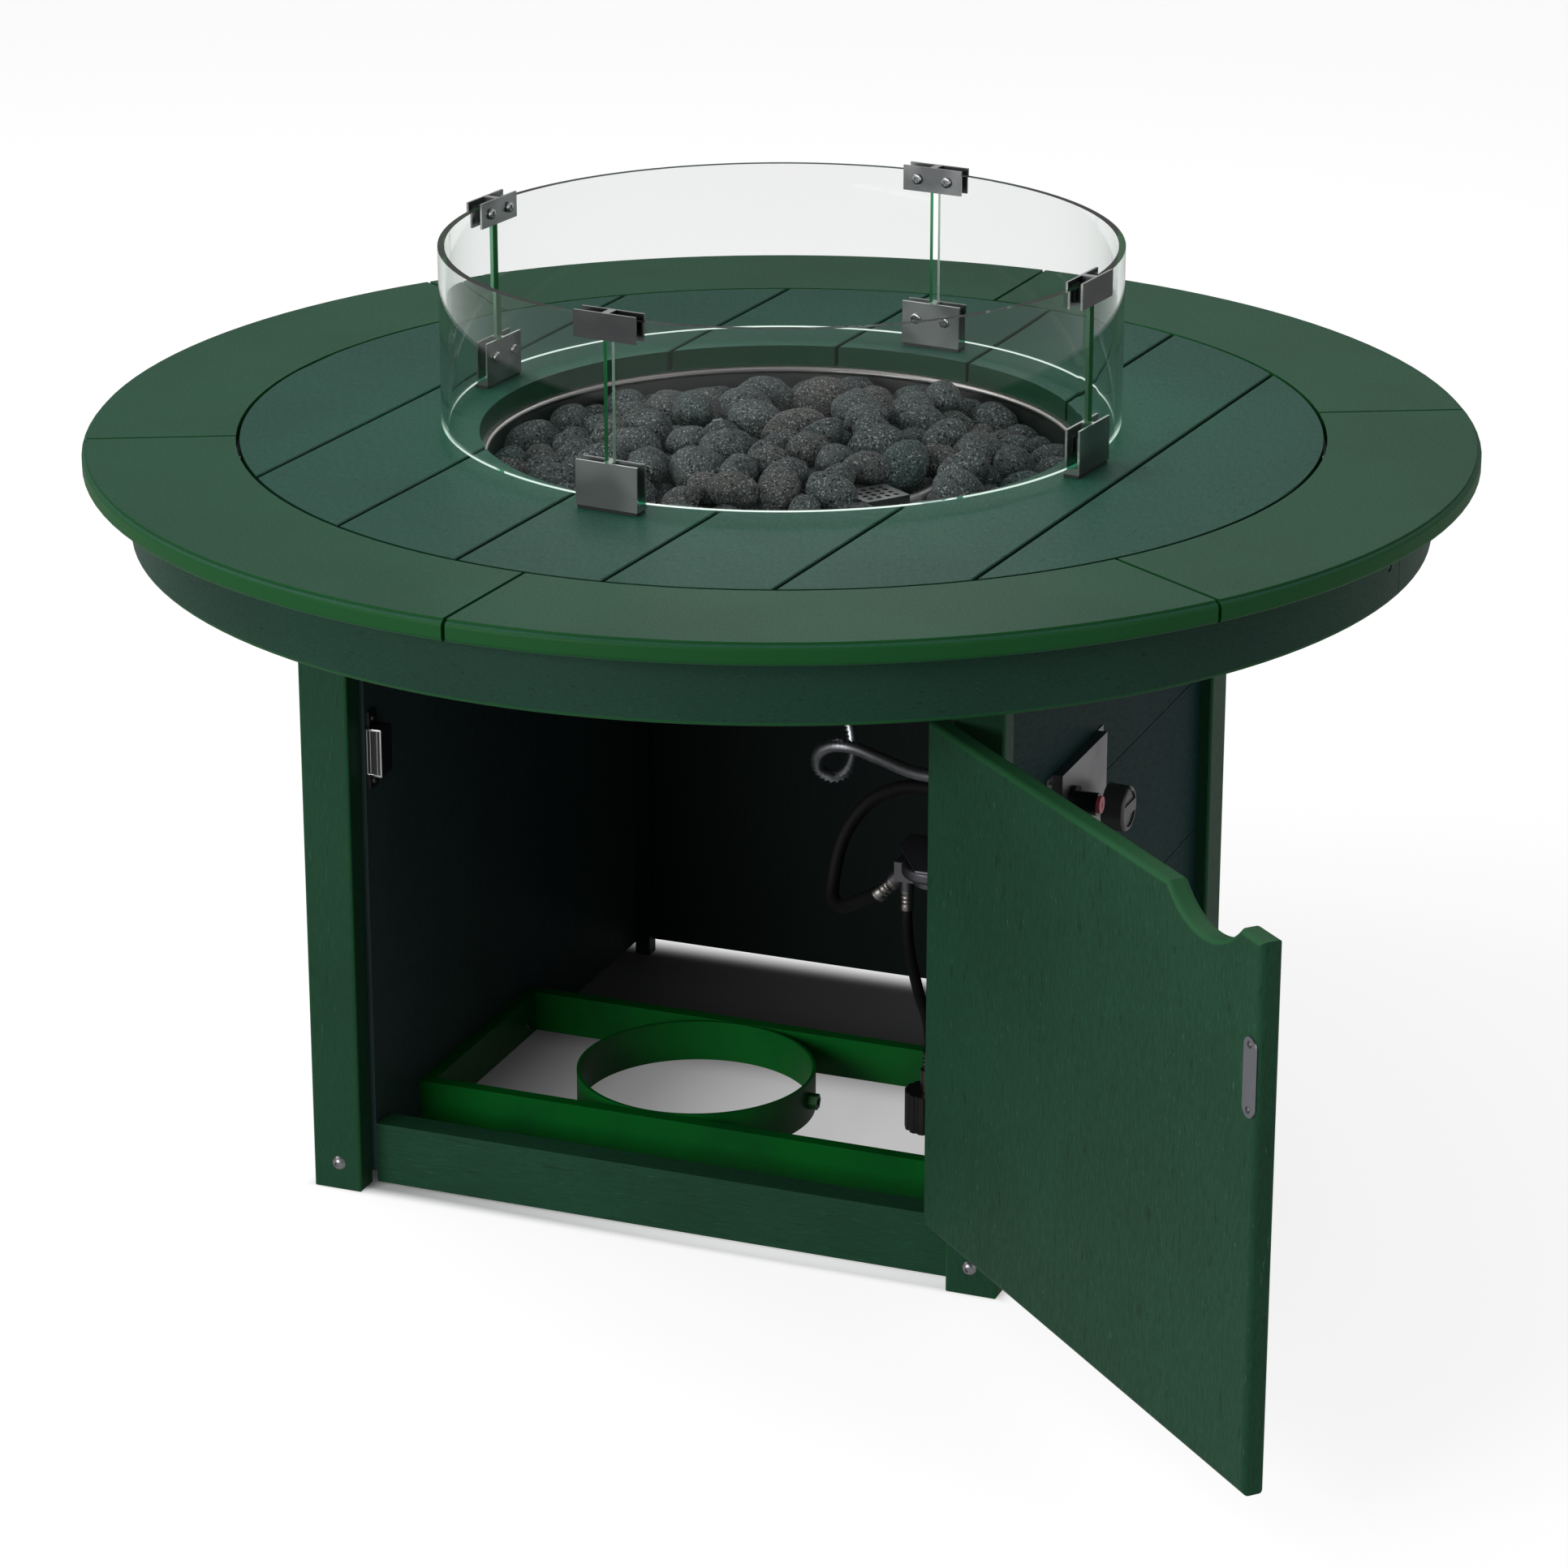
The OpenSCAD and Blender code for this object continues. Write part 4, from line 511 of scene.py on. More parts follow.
def make_glass():
    """Clear toughened glass: nearly colourless through the pane, deep green at the cut edges, which carry a
    painted glow; the top face is painted dark as shade, and the foot is painted bright mint as light and made
    to glow.
    """
    m, n, shader, place = start_material("guard glass")
    facing = n.parts(place.outputs["Normal"])
    at = n.parts(place.outputs["Object"])
    up = n.math("ABSOLUTE", facing[2])
    reach = n.math("SQRT", n.math("ADD", n.math("MULTIPLY", at[0], at[0]), n.math("MULTIPLY", at[1], at[1])))
    dot = n.math("ADD", n.math("MULTIPLY", at[0], facing[0]), n.math("MULTIPLY", at[1], facing[1]))
    radial = n.math("ABSOLUTE", n.math("DIVIDE", dot, reach))
    edge = n.ramp(radial, 0.3, 0.7, 1.0, 0.0)
    end = n.math("MULTIPLY", edge, n.ramp(up, 0.4, 0.8, 1.0, 0.0))
    flat = n.ramp(up, 0.6, 0.9)
    # painted shade on the top face, painted light on the foot
    rim = n.mix(n.ramp(at[2], GLASS_FOOT, GLASS_HEAD), linear(70, 190, 136), linear(94, 122, 107))
    colour = n.mix(flat, linear(243, 241, 242), rim)
    n.link(n.mix(end, colour, linear(10, 84, 36)), shader.inputs["Base Color"])
    n.link(n.math("MULTIPLY", end, 0.55), shader.inputs["Roughness"])
    # painted glow on the cut ends, though the glass is no lamp
    glow = n.mix(end, (0, 0, 0, 1), (0.0006, 0.02, 0.004, 1))
    # painted glow along the foot
    low = n.math("MULTIPLY", flat, n.ramp(at[2], GLASS_FOOT, GLASS_HEAD, 1.0, 0.0))
    n.link(n.mix(low, glow, (0.02, 0.17, 0.09, 1)), shader.inputs["Emission Color"])
    shader.inputs["Emission Strength"].default_value = 1.0
    shader.inputs["Transmission Weight"].default_value = 1.0
    shader.inputs["IOR"].default_value = GLASS_INDEX
    clear = n.add("BsdfTransparent")
    clear.inputs["Color"].default_value = (0.90, 0.95, 0.92, 1)
    green_body = n.add("VolumeAbsorption")
    green_body.inputs["Color"].default_value = (0.10, 0.82, 0.42, 1)
    green_body.inputs["Density"].default_value = GLASS_DENSITY
    out = m.node_tree.nodes["Material Output"]
    n.link(green_body.outputs[0], out.inputs["Volume"])
    path = n.add("LightPath")
    both = n.add("MixShader")
    n.link(path.outputs["Is Shadow Ray"], both.inputs[0])
    n.link(shader.outputs[0], both.inputs[1])
    n.link(clear.outputs[0], both.inputs[2])
    n.link(both.outputs[0], out.inputs["Surface"])
    return m


def make_lava():
    m, n, shader, place = start_material("lava stone")
    tint = n.add("Attribute", attribute_name="stone_tint")
    look = place_group(n, lava_pores, Position=place.outputs["Object"], Tint=tint.outputs["Fac"])
    n.link(look["Color"], shader.inputs["Base Color"])
    shader.inputs["Roughness"].default_value = 0.82
    shader.inputs["Specular IOR Level"].default_value = 0.3
    bump(n, shader, look["Height"], 0.9, 0.0014)
    return m


guard_glass = make_glass()
lava = make_lava()


# Finishes of the CAD nodes
finishes = {
    top_plank: ["top_plank_%d" % i for i in range(1, 8)],
    top_rim: ["rim_boards"],
    apron_green: ["apron_front", "apron_back", "apron_splice_blocks"],
    upright_green: ["front_post_left", "front_post_right", "rear_post_left", "rear_post_right"],
    inner_painted_light_green: ["inner_panel_left", "inner_panel_right"],
    rear_green: ["rear_panel", "rear_corner_cleats"],
    rail_green: ["bottom_rail", "top_rail", "battens"],
    side_green: ["side_boards_left", "side_boards_right"],
    door_green: ["door"],
    frame_green: ["tank_frame", "tank_ring"],
    steel: ["hinge_post_leaves", "hinge_door_leaves", "hinge_pins", "strike_plate", "regulator_bracket"],
    bright_steel: ["clip_screws"],
    bolt_steel: ["post_bolts"],
    dark_screw: ["apron_screws", "cabinet_screws", "strike_screws"],
    clip_steel: ["lower_clips"],
    shaded_upper_clip_steel: ["upper_clips"],
    panel_steel: ["control_box"],
    pan_steel: ["burner_pan"],
    burner_steel: ["burner_ring"],
    shroud_steel: ["igniter_shroud"],
    fitting_metal: ["gas_valve", "valve_stem", "coupling_nipple", "burner_inlet"],
    cast_metal: ["regulator"],
    knob_metal: ["gas_knob"],
    black_plastic: ["door_catch", "coupling_handwheel"],
    gloss_black: ["igniter_body"],
    button_red: ["igniter_button"],
    clip_rubber: ["clip_rubbers"],
    ceramic: ["igniter_electrode"],
    guard_glass: ["glass_panels"],
}
for finish, names in finishes.items():
    for name in names:
        o = nodes[name]
        if not o.material_slots:
            o.data.materials.append(finish)
        for s in o.material_slots:
            s.material = finish


# Hoses: the same points as in the construction, in millimetres
def smooth_line(points, fine):
    p = np.array(points, float)
    line = []
    for i in range(len(p) - 1):
        a, b, c, d = p[max(i - 1, 0)], p[i], p[i + 1], p[min(i + 2, len(p) - 1)]
        for k in range(fine):
            t = k / fine
            line.append(0.5 * (2 * b + (c - a) * t + (2 * a - 5 * b + 4 * c - d) * t ** 2
                               + (3 * b - a - 3 * c + d) * t ** 3))
    line.append(p[-1])
    return np.array(line)


def evenly(line, count):
    steps = np.linalg.norm(np.diff(line, axis=0), axis=1)
    along = np.concatenate([[0], np.cumsum(steps)])
    at = np.linspace(0, along[-1], count + 1)
    return np.stack([np.interp(at, along, line[:, k]) for k in range(3)], axis=1), along[-1]


def curve_through(name, line, radius=0.0):
    data = bpy.data.curves.new(name, "CURVE")
    data.dimensions = "3D"
    data.bevel_depth = radius * mm
    data.bevel_resolution = 6
    data.use_fill_caps = True
    spline = data.splines.new("POLY")
    spline.points.add(len(line) - 1)
    for point, co in zip(spline.points, line):
        point.co = (*(co * mm), 1)
    o = bpy.data.objects.new(name, data)
    bpy.context.scene.collection.objects.link(o)
    return o


# A sleeve has this many bands along it; the grooves lie at some of their ends, this share as wide
SLEEVE_BANDS, SLEEVE_GROOVES, GROOVE_SHARE = 14, (3, 4, 6, 7, 9, 10), 0.9


def ferrule(name, at, toward, radius, length):
    """A crimped sleeve with three grooves, from one end of a hose."""
    direction = Vector(toward - at).normalized()
    middle = Vector(at) + direction * length / 2
    deselect()
    bpy.ops.mesh.primitive_cylinder_add(vertices=32, radius=radius * mm, depth=length * mm,
                                        location=middle * mm,
                                        rotation=direction.to_track_quat("Z", "Y").to_euler())
    o = bpy.context.object
    o.name = name
    bpy.ops.object.mode_set(mode="EDIT")
    bpy.ops.mesh.select_all(action="DESELECT")
    bpy.ops.object.mode_set(mode="OBJECT")
    for e in o.data.edges:
        a, b = [o.data.vertices[i].co for i in e.vertices]
        e.select = abs(a.z - b.z) > length * mm / 2
    bpy.ops.object.mode_set(mode="EDIT")
    bpy.ops.mesh.select_mode(type="EDGE")
    bpy.ops.mesh.subdivide(number_cuts=SLEEVE_BANDS - 1)
    bpy.ops.mesh.select_all(action="DESELECT")
    bpy.ops.object.mode_set(mode="OBJECT")
    for v in o.data.vertices:
        band = (v.co.z / (length * mm) + 0.5) * SLEEVE_BANDS
        if any(abs(band - groove) < 0.2 for groove in SLEEVE_GROOVES):
            v.co.x *= GROOVE_SHARE
            v.co.y *= GROOVE_SHARE
    pick(o)
    bpy.ops.object.shade_smooth_by_angle(angle=math.radians(35))
    return settle(o)


def make_sleeves(name, line, radius, length):
    """The sleeves at both ends of a hose, as one piece."""
    pair = [ferrule(name + "_end", line[end], line[near], radius, length) for end, near in ((0, 3), (-1, -4))]
    return dress(joined(name, pair), "cabinet", fitting_metal)


# The connector is 10 mm across in the construction, and here 12 mm over its ribs
FLEX_D, FLEX_LOOK_D = 10.0, 12.0
HOSE_D, PIGTAIL_D = 13.0, 10.0
# Radius and length of the sleeves of each hose
HOSE_SLEEVE, PIGTAIL_SLEEVE = (7.4, 22), (6.2, 18)
port_x, port_off = 225.8, 12.0
knob_y, knob_z = -70.0, 361.0
flex_points = [(0, 0, 545), (0, 0, 535), (0, 0, 525), (10, 5, 480), (30, 15, 430), (50, 25, 385),
               (61, 20, 352), (61, 9, 334), (50, 0, 327), (39, -8, 336), (42, -16, 354), (58, -22, 365),
               (80, -27, 367), (110, -40, 365), (150, -62, 365), (190, -82, 372),
               (port_x - 2 * FLEX_D, knob_y - port_off, knob_z + port_off),
               (port_x - FLEX_D, knob_y - port_off, knob_z + port_off),
               (port_x, knob_y - port_off, knob_z + port_off)]
tee = np.array([161.0, -110.0, 293.0])
tee_way = np.array([-math.sin(math.radians(45)), 0, -math.cos(math.radians(45))])
hose_points = [tee + tee_way * 17, tee + tee_way * (17 + HOSE_D), (128, -102, 262), (103, -87, 245),
               (86, -75, 235), (74, -65, 238), (71, -55, 252), (72, -46, 273), (77, -40, 292), (88, -36, 311),
               (105, -36, 328), (136, -45, 344), (170, -55, 349),
               (port_x - 2 * HOSE_D, knob_y + port_off, knob_z - port_off),
               (port_x - HOSE_D, knob_y + port_off, knob_z - port_off),
               (port_x, knob_y + port_off, knob_z - port_off)]
pigtail_points = [(161, -110, 274), (161, -110, 254), (161, -110, 244), (161, -102, 212), (162, -80, 165),
                  (162, -58, 132), (162, -50, 110), (162, -50, 100), (162, -50, 80)]

# The ribs' pitch, how deep they are as a share of the radius, and how close their ends are joined
RIB_PITCH, RIB_DEPTH_SHARE, RIB_WELD = 4.2, 0.34, 0.02


def make_connector():
    """The corrugated connector: one rib is modelled, repeated along a line and bent to the route."""
    line, length = evenly(smooth_line(flex_points, 12), 220)
    rib_total = int(length // RIB_PITCH)
    pitch = length / rib_total * mm
    deselect()
    bpy.ops.mesh.primitive_cylinder_add(vertices=18, radius=FLEX_LOOK_D / 2 * mm, depth=pitch,
                                        end_fill_type="NOTHING", location=(pitch / 2, 0, 0),
                                        rotation=(0, math.radians(90), 0))
    rib = settle(bpy.context.object)
    bpy.ops.object.mode_set(mode="EDIT")
    bpy.ops.mesh.select_all(action="SELECT")
    bpy.ops.mesh.subdivide(number_cuts=1)
    bpy.ops.object.mode_set(mode="OBJECT")
    for v in rib.data.vertices:
        away_from_crest = abs(v.co.x / pitch - 0.5) * 2
        depth = 1 - RIB_DEPTH_SHARE * away_from_crest
        v.co.y *= depth
        v.co.z *= depth
    route = curve_through("connector_route", line)
    repeat = rib.modifiers.new("repeat", "ARRAY")
    repeat.count = rib_total
    repeat.use_merge_vertices = True
    repeat.merge_threshold = RIB_WELD * mm
    follow = rib.modifiers.new("follow", "CURVE")
    follow.object = route
    follow.deform_axis = "POS_X"
    connector = finish_modifiers(rib)
    bpy.data.objects.remove(route)
    connector.name = "corrugated_connector"
    pick(connector)
    bpy.ops.object.shade_smooth()
    dress(connector, "cabinet", flex_steel, ["flex_hose"])


def make_hose(name, points, steps, diameter, node):
    """A round hose along its route in place of a node, with its line and its length."""
    line, length = evenly(smooth_line(points, 10), steps)
    hose = curve_through(name, line, diameter / 2)
    return dress(hose, "cabinet", hose_rubber, [node]), line, length


make_connector()
hose_line = make_hose("rubber_hose", hose_points, 90, HOSE_D, "gas_hose")[1]
pigtail, pigtail_line, pigtail_length = make_hose("cylinder_hose", pigtail_points, 50, PIGTAIL_D,
                                                  "pigtail_hose")
make_sleeves("hose_sleeves", hose_line, *HOSE_SLEEVE)
cylinder_hose_sleeves = make_sleeves("cylinder_hose_sleeves", pigtail_line, *PIGTAIL_SLEEVE)


# Lava stones: settled into the pan by a small, seeded packing, in millimetres
PAN_FLOOR, PAN_WALL = 590.0, 260.0
BURNER_R, TUBE_R, TUBE_Z = 149.0, 9.5, 606.0
CROSS = math.radians(-65)
FILL_TOP = 646.0
# Along this stretch of the ring the stones move aside only, so that its tube lies bare
BARE_FROM, BARE_TO = math.radians(-34), math.radians(-2)
# The shroud's place on the ring and the room round it; stones before it stay under a height, so that it shows
SHROUD, SHROUD_ROOM = math.radians(-36), 27
TO_VIEWER = math.radians(-68.6)
SHROUD_VIEW, VIEW_LONG, VIEW_HALF = 618.0, 75, 38
# A bed of stones, and looser ones that start above it
BED, LOOSE = 118, 64
PEBBLES = BED + LOOSE
BED_MARGIN, LOOSE_MARGIN, LOOSE_UP, SCATTER = 22, 40, 34, 7
STONE_R, STONE_MORE, FLAT_SHARE = 15.0, 8.5, 0.86
SETTLE_STEPS, FAST_STEPS, FAST_FALL, SLOW_FALL = 420, 330, 0.6, 0.1
# How much a gap counts upwards, how near two stones may come, and how far they give way in one pass
UP_SHARE, TOUCH_SHARE, YIELD_SHARE = 1.08, 0.97, 0.33


def over_floor(angle):
    return np.array([math.cos(angle), math.sin(angle)])


def spiral(count, reach, turn):
    """Even places over a disc."""
    step = np.arange(count) + 0.5
    away, angle = np.sqrt(step / count) * reach, step * math.pi * (3 - math.sqrt(5)) + turn
    return np.stack([away * np.cos(angle), away * np.sin(angle)], axis=1)


def push_apart(centre, radius):
    """Stones that overlap move away from each other; one above another they may lie a little closer."""
    gap = centre[:, None] - centre[None]
    far = np.linalg.norm(gap * [1, 1, UP_SHARE], axis=2) + np.eye(PEBBLES) * 1000
    push = np.clip((radius[:, None] + radius[None]) * TOUCH_SHARE - far, 0, None)
    centre += (gap / far[..., None] * push[..., None]).sum(1) * YIELD_SHARE


def keep_in_pan(centre, radius):
    """Moves stones in from the pan's wall."""
    rho = np.linalg.norm(centre[:, :2], axis=1) + 1e-9
    over = np.clip(rho - (PAN_WALL - radius), 0, None)
    centre[:, :2] -= centre[:, :2] / rho[:, None] * over[:, None]


def clear_ring(centre, flat):
    """Moves stones off the burner's ring."""
    rho = np.linalg.norm(centre[:, :2], axis=1) + 1e-9
    angle = np.arctan2(centre[:, 1], centre[:, 0])
    away_in, away_up = rho - BURNER_R, centre[:, 2] - TUBE_Z
    bare = (angle > BARE_FROM) & (angle < BARE_TO)
    away_up = np.where(bare, 0.0, away_up)
    near = np.sqrt(away_in ** 2 + away_up ** 2) + 1e-9
    push = np.clip(flat + TUBE_R - near, 0, None)
    centre[:, :2] += centre[:, :2] / rho[:, None] * (away_in / near * push)[:, None]
    centre[:, 2] += away_up / near * push


def clear_cross_tube(centre, flat):
    """Moves stones off the tube across the ring."""
    cross = np.array([*over_floor(CROSS), 0])
    along = centre @ cross
    off = centre - np.array([0, 0, TUBE_Z]) - along[:, None] * cross
    near = np.linalg.norm(off, axis=1) + 1e-9
    push = np.where(np.abs(along) < BURNER_R, np.clip(flat + TUBE_R * 0.9 - near, 0, None), 0)
    centre += off / near[:, None] * push[:, None]


def clear_shroud(centre, radius):
    """Moves stones away from the igniter's shroud, and keeps those before it low."""
    side = centre[:, :2] - over_floor(SHROUD) * BURNER_R
    near = np.linalg.norm(side, axis=1) + 1e-9
    push = np.clip(radius * 0.8 + SHROUD_ROOM - near, 0, None)
    centre[:, :2] += side / near[:, None] * push[:, None]
    viewer = over_floor(TO_VIEWER)
    before = side @ viewer
    beside = np.abs(side @ np.array([-viewer[1], viewer[0]]))
    low = (before > 0) & (before < VIEW_LONG) & (beside < VIEW_HALF)
    centre[:, 2] = np.where(low, np.minimum(centre[:, 2], SHROUD_VIEW - radius), centre[:, 2])


def settle_pebbles():
    """Centres and radii of the stones once they have sunk into the pan."""
    rng = np.random.RandomState(11)
    radius = STONE_R + STONE_MORE * rng.uniform(0, 1, PEBBLES) ** 1.4
    flat = radius * FLAT_SHARE
    ground = np.concatenate([spiral(BED, PAN_WALL - BED_MARGIN, 0.3),
                             spiral(LOOSE, PAN_WALL - LOOSE_MARGIN, 1.7)])
    ground += rng.uniform(-SCATTER, SCATTER, ground.shape)
    height = PAN_FLOOR + flat + np.where(np.arange(PEBBLES) < BED, 0, LOOSE_UP)
    centre = np.concatenate([ground, height[:, None]], axis=1)
    for step in range(SETTLE_STEPS):
        centre[:, 2] -= FAST_FALL if step < FAST_STEPS else SLOW_FALL
        for k in range(3):
            push_apart(centre, radius)
        keep_in_pan(centre, radius)
        clear_ring(centre, flat)
        clear_cross_tube(centre, flat)
        clear_shroud(centre, radius)
        centre[:, 2] = np.clip(centre[:, 2], PAN_FLOOR + flat, FILL_TOP - radius * 0.8)
    return centre, radius


def pebble_shape(seed):
    """One worn pebble of unit radius: a rounded lump with broad swellings and small dents."""
    deselect()
    bpy.ops.mesh.primitive_ico_sphere_add(subdivisions=4, radius=1.0)
    o = bpy.context.object
    for name, size, strength in (("swell", 1.3, 0.34), ("dent", 0.22, 0.045)):
        lumps = bpy.data.textures.new("%s_%d" % (name, seed), "CLOUDS")
        lumps.noise_scale = size
        lumps.noise_depth = 1
        place = bpy.data.objects.new("%s_place_%d" % (name, seed), None)
        bpy.context.scene.collection.objects.link(place)
        place.location = (seed * 3.1, seed * 1.7, seed * 2.3)
        step = o.modifiers.new(name, "DISPLACE")
        step.texture = lumps
        step.texture_coords = "OBJECT"
        step.texture_coords_object = place
        step.strength = strength
        step.mid_level = 0.5
        finish_modifiers(o)
        bpy.data.objects.remove(place)
    thin = o.modifiers.new("thin", "DECIMATE")
    thin.ratio = 0.28
    return finish_modifiers(o)


def make_pebbles():
    rng = np.random.RandomState(5)
    shapes = [pebble_shape(seed) for seed in range(8)]
    centre, radius = settle_pebbles()
    stones = []
    for i, (c, r) in enumerate(zip(centre, radius)):
        o = copy_of(shapes[i % len(shapes)], "pebble")
        long, short = rng.uniform(1.06, 1.34), rng.uniform(0.80, 0.92)
        turn = Euler((rng.uniform(-0.4, 0.4), rng.uniform(-0.4, 0.4), rng.uniform(0, 6.28)))
        o.scale = (r * long * mm, r * rng.uniform(0.90, 1.0) * mm, r * short * mm)
        o.rotation_euler = turn
        o.location = Vector(c) * mm
        tint = o.data.attributes.new("stone_tint", "FLOAT", "POINT")
        tint.data.foreach_set("value", np.full(len(o.data.vertices), rng.uniform(0, 1), np.float32))
        stones.append(o)
    for shape in shapes:
        bpy.data.objects.remove(shape)
    layers = [joined("lava_pebbles_bed", stones[:BED]), joined("lava_pebbles_top", stones[BED:])]
    for layer in layers:
        pick(layer)
        bpy.ops.object.shade_smooth()
        dress(layer, "cabinet", lava, ["lava_stones"])


make_pebbles()


# Cross-recess screws in the clips' inner plates
def pan_screw(radius, height):
    """A pan head with a rounded edge and a cross cut into it, standing on z = 0."""
    deselect()
    bpy.ops.mesh.primitive_cylinder_add(vertices=40, radius=radius, depth=height, location=(0, 0, height / 2))
    head = settle(bpy.context.object)
    edge = head.modifiers.new("edge", "BEVEL")
    edge.width = height * 0.62
    edge.segments = 5
    edge.limit_method = "ANGLE"
    edge.angle_limit = math.radians(50)
    finish_modifiers(head)
    for turn in (45, 135):
        deselect()
        bpy.ops.mesh.primitive_cube_add(size=1, location=(0, 0, height))
        blade = bpy.context.object
        blade.scale = (radius * 1.15, radius * 0.26, height * 0.9)
        blade.rotation_euler = (0, 0, math.radians(turn))
        settle(blade)
        slot_cut = head.modifiers.new("cross", "BOOLEAN")
        slot_cut.object = blade
        slot_cut.operation = "DIFFERENCE"
        finish_modifiers(head)
        bpy.data.objects.remove(blade)
    return head


def put_screws(name, head, places):
    """Copies of a head, each at a place and facing a direction."""
    parts = []
    for at, facing in places:
        o = copy_of(head, name)
        upright = Vector(facing).to_track_quat("Z", "Y").to_matrix().to_4x4()
        o.matrix_world = Matrix.Translation(Vector(at)) @ upright
        parts.append(o)
    bpy.data.objects.remove(head)
    whole = joined(name, parts)
    pick(whole)
    bpy.ops.object.shade_smooth_by_angle(angle=math.radians(40))
    return whole


CLIP_TURN, CLIPS = -97.2, 4
PLATE_IN, SCREW_PITCH = 287.0, 15.0
SCREW_ROWS = (677.2, 808.5)
SCREW_HEAD_R, SCREW_HEAD_H = 5.0, 3.1


def make_clip_screws():
    """Two screws in each clip, low and high, facing the middle of the guard."""
    places = []
    for k in range(CLIPS):
        a = math.radians(CLIP_TURN + 360 / CLIPS * k)
        out = Vector((math.cos(a), math.sin(a), 0))
        aside = Vector((-math.sin(a), math.cos(a), 0))
        for z in SCREW_ROWS:
            for s in (-1, 1):
                places.append(((out * PLATE_IN + aside * s * SCREW_PITCH + Vector((0, 0, z))) * mm, -out))
    heads = put_screws("clip_pan_screws", pan_screw(SCREW_HEAD_R * mm, SCREW_HEAD_H * mm), places)
    dress(heads, "wind_guard", bright_steel, ["clip_screws"])


make_clip_screws()


# The narrow lip under the seam between rim and planks, which the photograph shows closed: it stands in for
# the shade under the seam, so that the gap shows dark
RIM_IN_R, FIELD_R, TOP_LOW = 477.0, 473.5, 631.0
LIP_T, LIP_UP, LIP_ROOM = 5.0, 1.5, 0.2


def make_seam_shade_lip():
    deselect()
    bpy.ops.mesh.primitive_circle_add(vertices=240, radius=(FIELD_R + LIP_ROOM) * mm, fill_type="NOTHING",
                                      location=(0, 0, (TOP_LOW + LIP_UP) * mm))
    lip = settle(bpy.context.object)
    lip.name = "rim_seam_lip"
    bpy.ops.object.mode_set(mode="EDIT")
    bpy.ops.mesh.select_all(action="SELECT")
    bpy.ops.mesh.extrude_region_move(TRANSFORM_OT_translate={"value": (0, 0, LIP_T * mm)})
    bpy.ops.mesh.select_all(action="SELECT")
    bpy.ops.mesh.normals_make_consistent(inside=False)
    bpy.ops.object.mode_set(mode="OBJECT")
    wall = lip.modifiers.new("wall", "SOLIDIFY")
    wall.thickness = (RIM_IN_R - FIELD_R - LIP_ROOM) * mm
    wall.offset = 1.0
    finish_modifiers(lip)
    dress(lip, "cabinet", inner_painted_light_green)


make_seam_shade_lip()


# The steel keeper round the magnet of the door catch
def window_plate(name, low, high, depth, border):
    """A thin upright plate facing -Y with a window in it, and rounded rims."""
    size = [b - a for a, b in zip(low, high)]
    deselect()
    bpy.ops.mesh.primitive_plane_add(size=1, rotation=(math.radians(90), 0, 0),
                                     location=((low[0] + high[0]) / 2, low[1], (low[2] + high[2]) / 2))
    o = bpy.context.object
    o.name = name
    o.scale = (size[0], size[2], 1)
    settle(o)
    bpy.ops.object.mode_set(mode="EDIT")
    bpy.ops.mesh.select_all(action="SELECT")
    bpy.ops.mesh.inset(thickness=border, depth=0)
    bpy.ops.mesh.delete(type="FACE")
    bpy.ops.object.mode_set(mode="OBJECT")
    wall = o.modifiers.new("wall", "SOLIDIFY")
    wall.thickness = depth
    wall.offset = -1.0
    rim = o.modifiers.new("rim", "BEVEL")
    rim.width = depth * 0.3
    rim.segments = 2
    return finish_modifiers(o)


CATCH_X, CATCH_FRONT, CATCH_Z, CATCH_W, CATCH_H = -270.0, -295.0, 407.0, 15.0, 42.0
CATCH_PROUD = 0.2
# Short of the strike plate's screw heads, which come up to it when the door is shut
KEEPER_LIP = 0.6
KEEPER_LEFT, KEEPER_RIGHT, KEEPER_T, KEEPER_BORDER = 0.6, 0.8, 1.4, 1.9
POLE_LEFT, POLE_RIGHT, POLE_T, POLE_BORDER, POLE_SHORT = 4.6, 3.0, 1.2, 0.9, 0.5


def catch_plate(name, left, right, beyond, depth, border):
    """A plate over the catch's front, from one side to the other and past its ends by a length."""
    half = CATCH_H / 2 + beyond
    low = Vector((left, CATCH_FRONT - CATCH_PROUD, CATCH_Z - half)) * mm
    high = Vector((right, CATCH_FRONT - CATCH_PROUD, CATCH_Z + half)) * mm
    return window_plate(name, low, high, depth * mm, border * mm)


def make_catch_steel():
    """The keeper round the magnet and the pole plate in it, as one piece."""
    keeper = catch_plate("catch_keeper", CATCH_X + KEEPER_LEFT, CATCH_X + CATCH_W + KEEPER_RIGHT, KEEPER_LIP,
                         KEEPER_T, KEEPER_BORDER)
    pole_plate = catch_plate("catch_pole_plate", CATCH_X + POLE_LEFT, CATCH_X + CATCH_W - POLE_RIGHT,
                             -POLE_SHORT, POLE_T, POLE_BORDER)
    plates = joined("catch_keeper", [keeper, pole_plate])
    pick(plates)
    bpy.ops.object.shade_smooth_by_angle(angle=math.radians(40))
    dress(plates, "cabinet", bright_steel)


make_catch_steel()


# Floor, backdrop and light: the white shows in full to the camera and softly in metal and glass
MIRRORED = 0.35
FLOOR_R = 60
# Where the floor under the cabinet gives way to the open one: to each side, before and behind, in metres
SIDE_EDGE, FRONT_EDGE, BACK_EDGE = (0.30, 0.335), (-0.325, -0.30), (0.285, 0.345)
OPEN_GLOW = 0.78


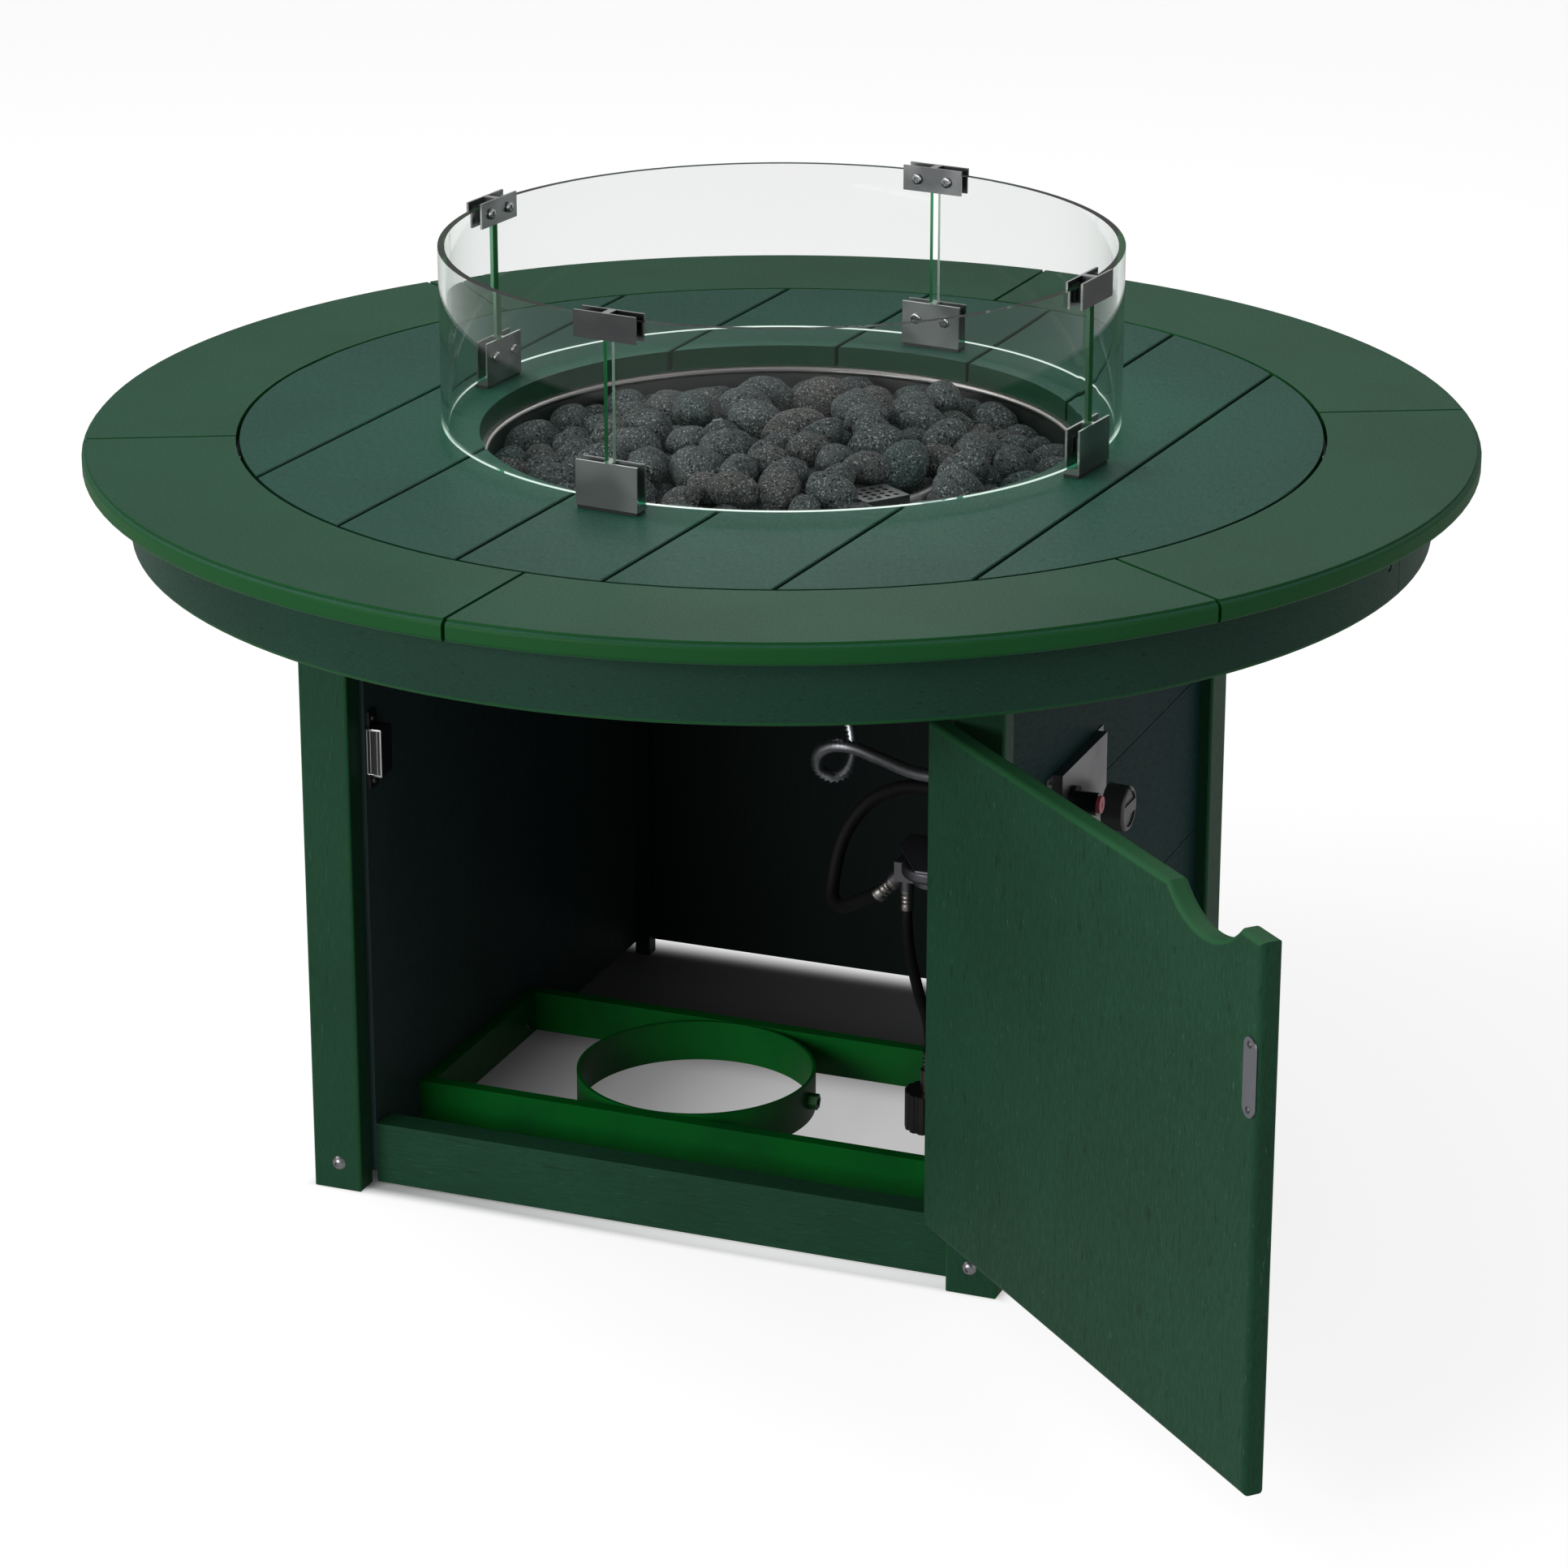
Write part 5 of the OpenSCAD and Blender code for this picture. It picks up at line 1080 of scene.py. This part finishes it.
def shown_white(n):
    """Whether a ray is seen or mirrored, and how much of the white it shows."""
    path = n.add("LightPath")
    direct = n.math("MAXIMUM", path.outputs["Is Camera Ray"], path.outputs["Is Transmission Ray"])
    seen = n.math("MAXIMUM", direct, path.outputs["Is Glossy Ray"])
    shown = n.math("MAXIMUM", direct, n.math("MULTIPLY", path.outputs["Is Glossy Ray"], MIRRORED))
    return seen, shown


def make_floor_finish():
    """White in the open; under the cabinet a painted shadow darkens it towards the back and painted light
    brightens it towards the front and the right, so that it is dim towards its left and its back.
    """
    m, n, shader, place = start_material("floor")
    seen, shown = shown_white(n)
    ground = n.parts(place.outputs["Object"])
    beside = n.ramp(n.math("ABSOLUTE", ground[0]), *SIDE_EDGE)
    before = n.ramp(ground[1], *FRONT_EDGE, 1.0, 0.0)
    # behind, the open white fades in over a band: painted light coming in under the rear panel
    far = n.ramp(ground[1], *BACK_EDGE)
    behind = n.math("MULTIPLY", far, far)
    open_floor = n.math("MAXIMUM", beside, n.math("MAXIMUM", before, behind))
    # painted shadow: under the cabinet the floor is painted darker towards the back
    inside = n.mix(n.ramp(ground[1], -0.32, 0.12), (0.9, 0.9, 0.9, 1), (0.22, 0.22, 0.22, 1))
    pale = n.mix(open_floor, inside, (0.46, 0.46, 0.46, 1))
    n.link(n.mix(seen, (0.30, 0.30, 0.30, 1), pale), shader.inputs["Base Color"])
    shader.inputs["Roughness"].default_value = 1.0
    shader.inputs["Specular IOR Level"].default_value = 0.0
    shader.inputs["Emission Color"].default_value = (1, 1, 1, 1)
    # painted light under the cabinet, strongest at the front right, seen by camera and mirror rays
    rightward = n.ramp(ground[0], -0.32, 0.12, 0.01, 0.46)
    painted_floor_light = n.math("MULTIPLY", rightward, n.ramp(ground[1], 0.03, 0.14, 1.0, 0.0))
    glow = n.math("MAXIMUM", n.math("MULTIPLY", open_floor, OPEN_GLOW), painted_floor_light)
    n.link(n.math("MULTIPLY", shown, glow), shader.inputs["Emission Strength"])
    return m


def make_studio():
    """A white backdrop whose light on the object is stronger from above."""
    world = bpy.data.worlds.new("studio")
    bpy.context.scene.world = world
    world.use_nodes = True
    n = Nodes(world.node_tree)
    sky = world.node_tree.nodes["Background"]
    sky.inputs["Color"].default_value = (1, 1, 1, 1)
    seen, shown = shown_white(n)
    height = n.parts(n.add("TexCoord").outputs["Generated"])[2]
    studio_light = n.ramp(height, -0.1, 0.9, 0.16, 0.36)
    hidden = n.math("MULTIPLY", n.math("SUBTRACT", 1.0, seen), studio_light)
    n.link(n.math("ADD", shown, hidden), sky.inputs["Strength"])


deselect()
bpy.ops.mesh.primitive_circle_add(vertices=96, radius=FLOOR_R, fill_type="NGON", location=(0, 0, 0))
floor = bpy.context.object
floor.name = "floor"
floor.data.materials.append(make_floor_finish())
make_studio()


def lamp(name, at, target, size, power):
    data = bpy.data.lights.new(name, "AREA")
    data.shape = "RECTANGLE"
    data.size, data.size_y = size
    data.energy = power
    o = bpy.data.objects.new(name, data)
    o.location = at
    o.rotation_mode = "QUATERNION"
    o.rotation_quaternion = (Vector(target) - Vector(at)).to_track_quat("-Z", "Y")
    bpy.context.scene.collection.objects.link(o)


lamp("key", (-3.0, -0.6, 3.6), (0, 0, 0.4), (2.4, 2.4), 46)
lamp("front", (-1.6, -4.4, 1.7), (0, 0, 0.35), (2.6, 1.8), 100)
lamp("back", (-0.6, 3.2, 3.4), (0, 0, 0.6), (2.4, 1.4), 14)
lamp("side", (3.6, -0.9, 1.5), (0, 0, 0.4), (1.6, 1.6), 12)
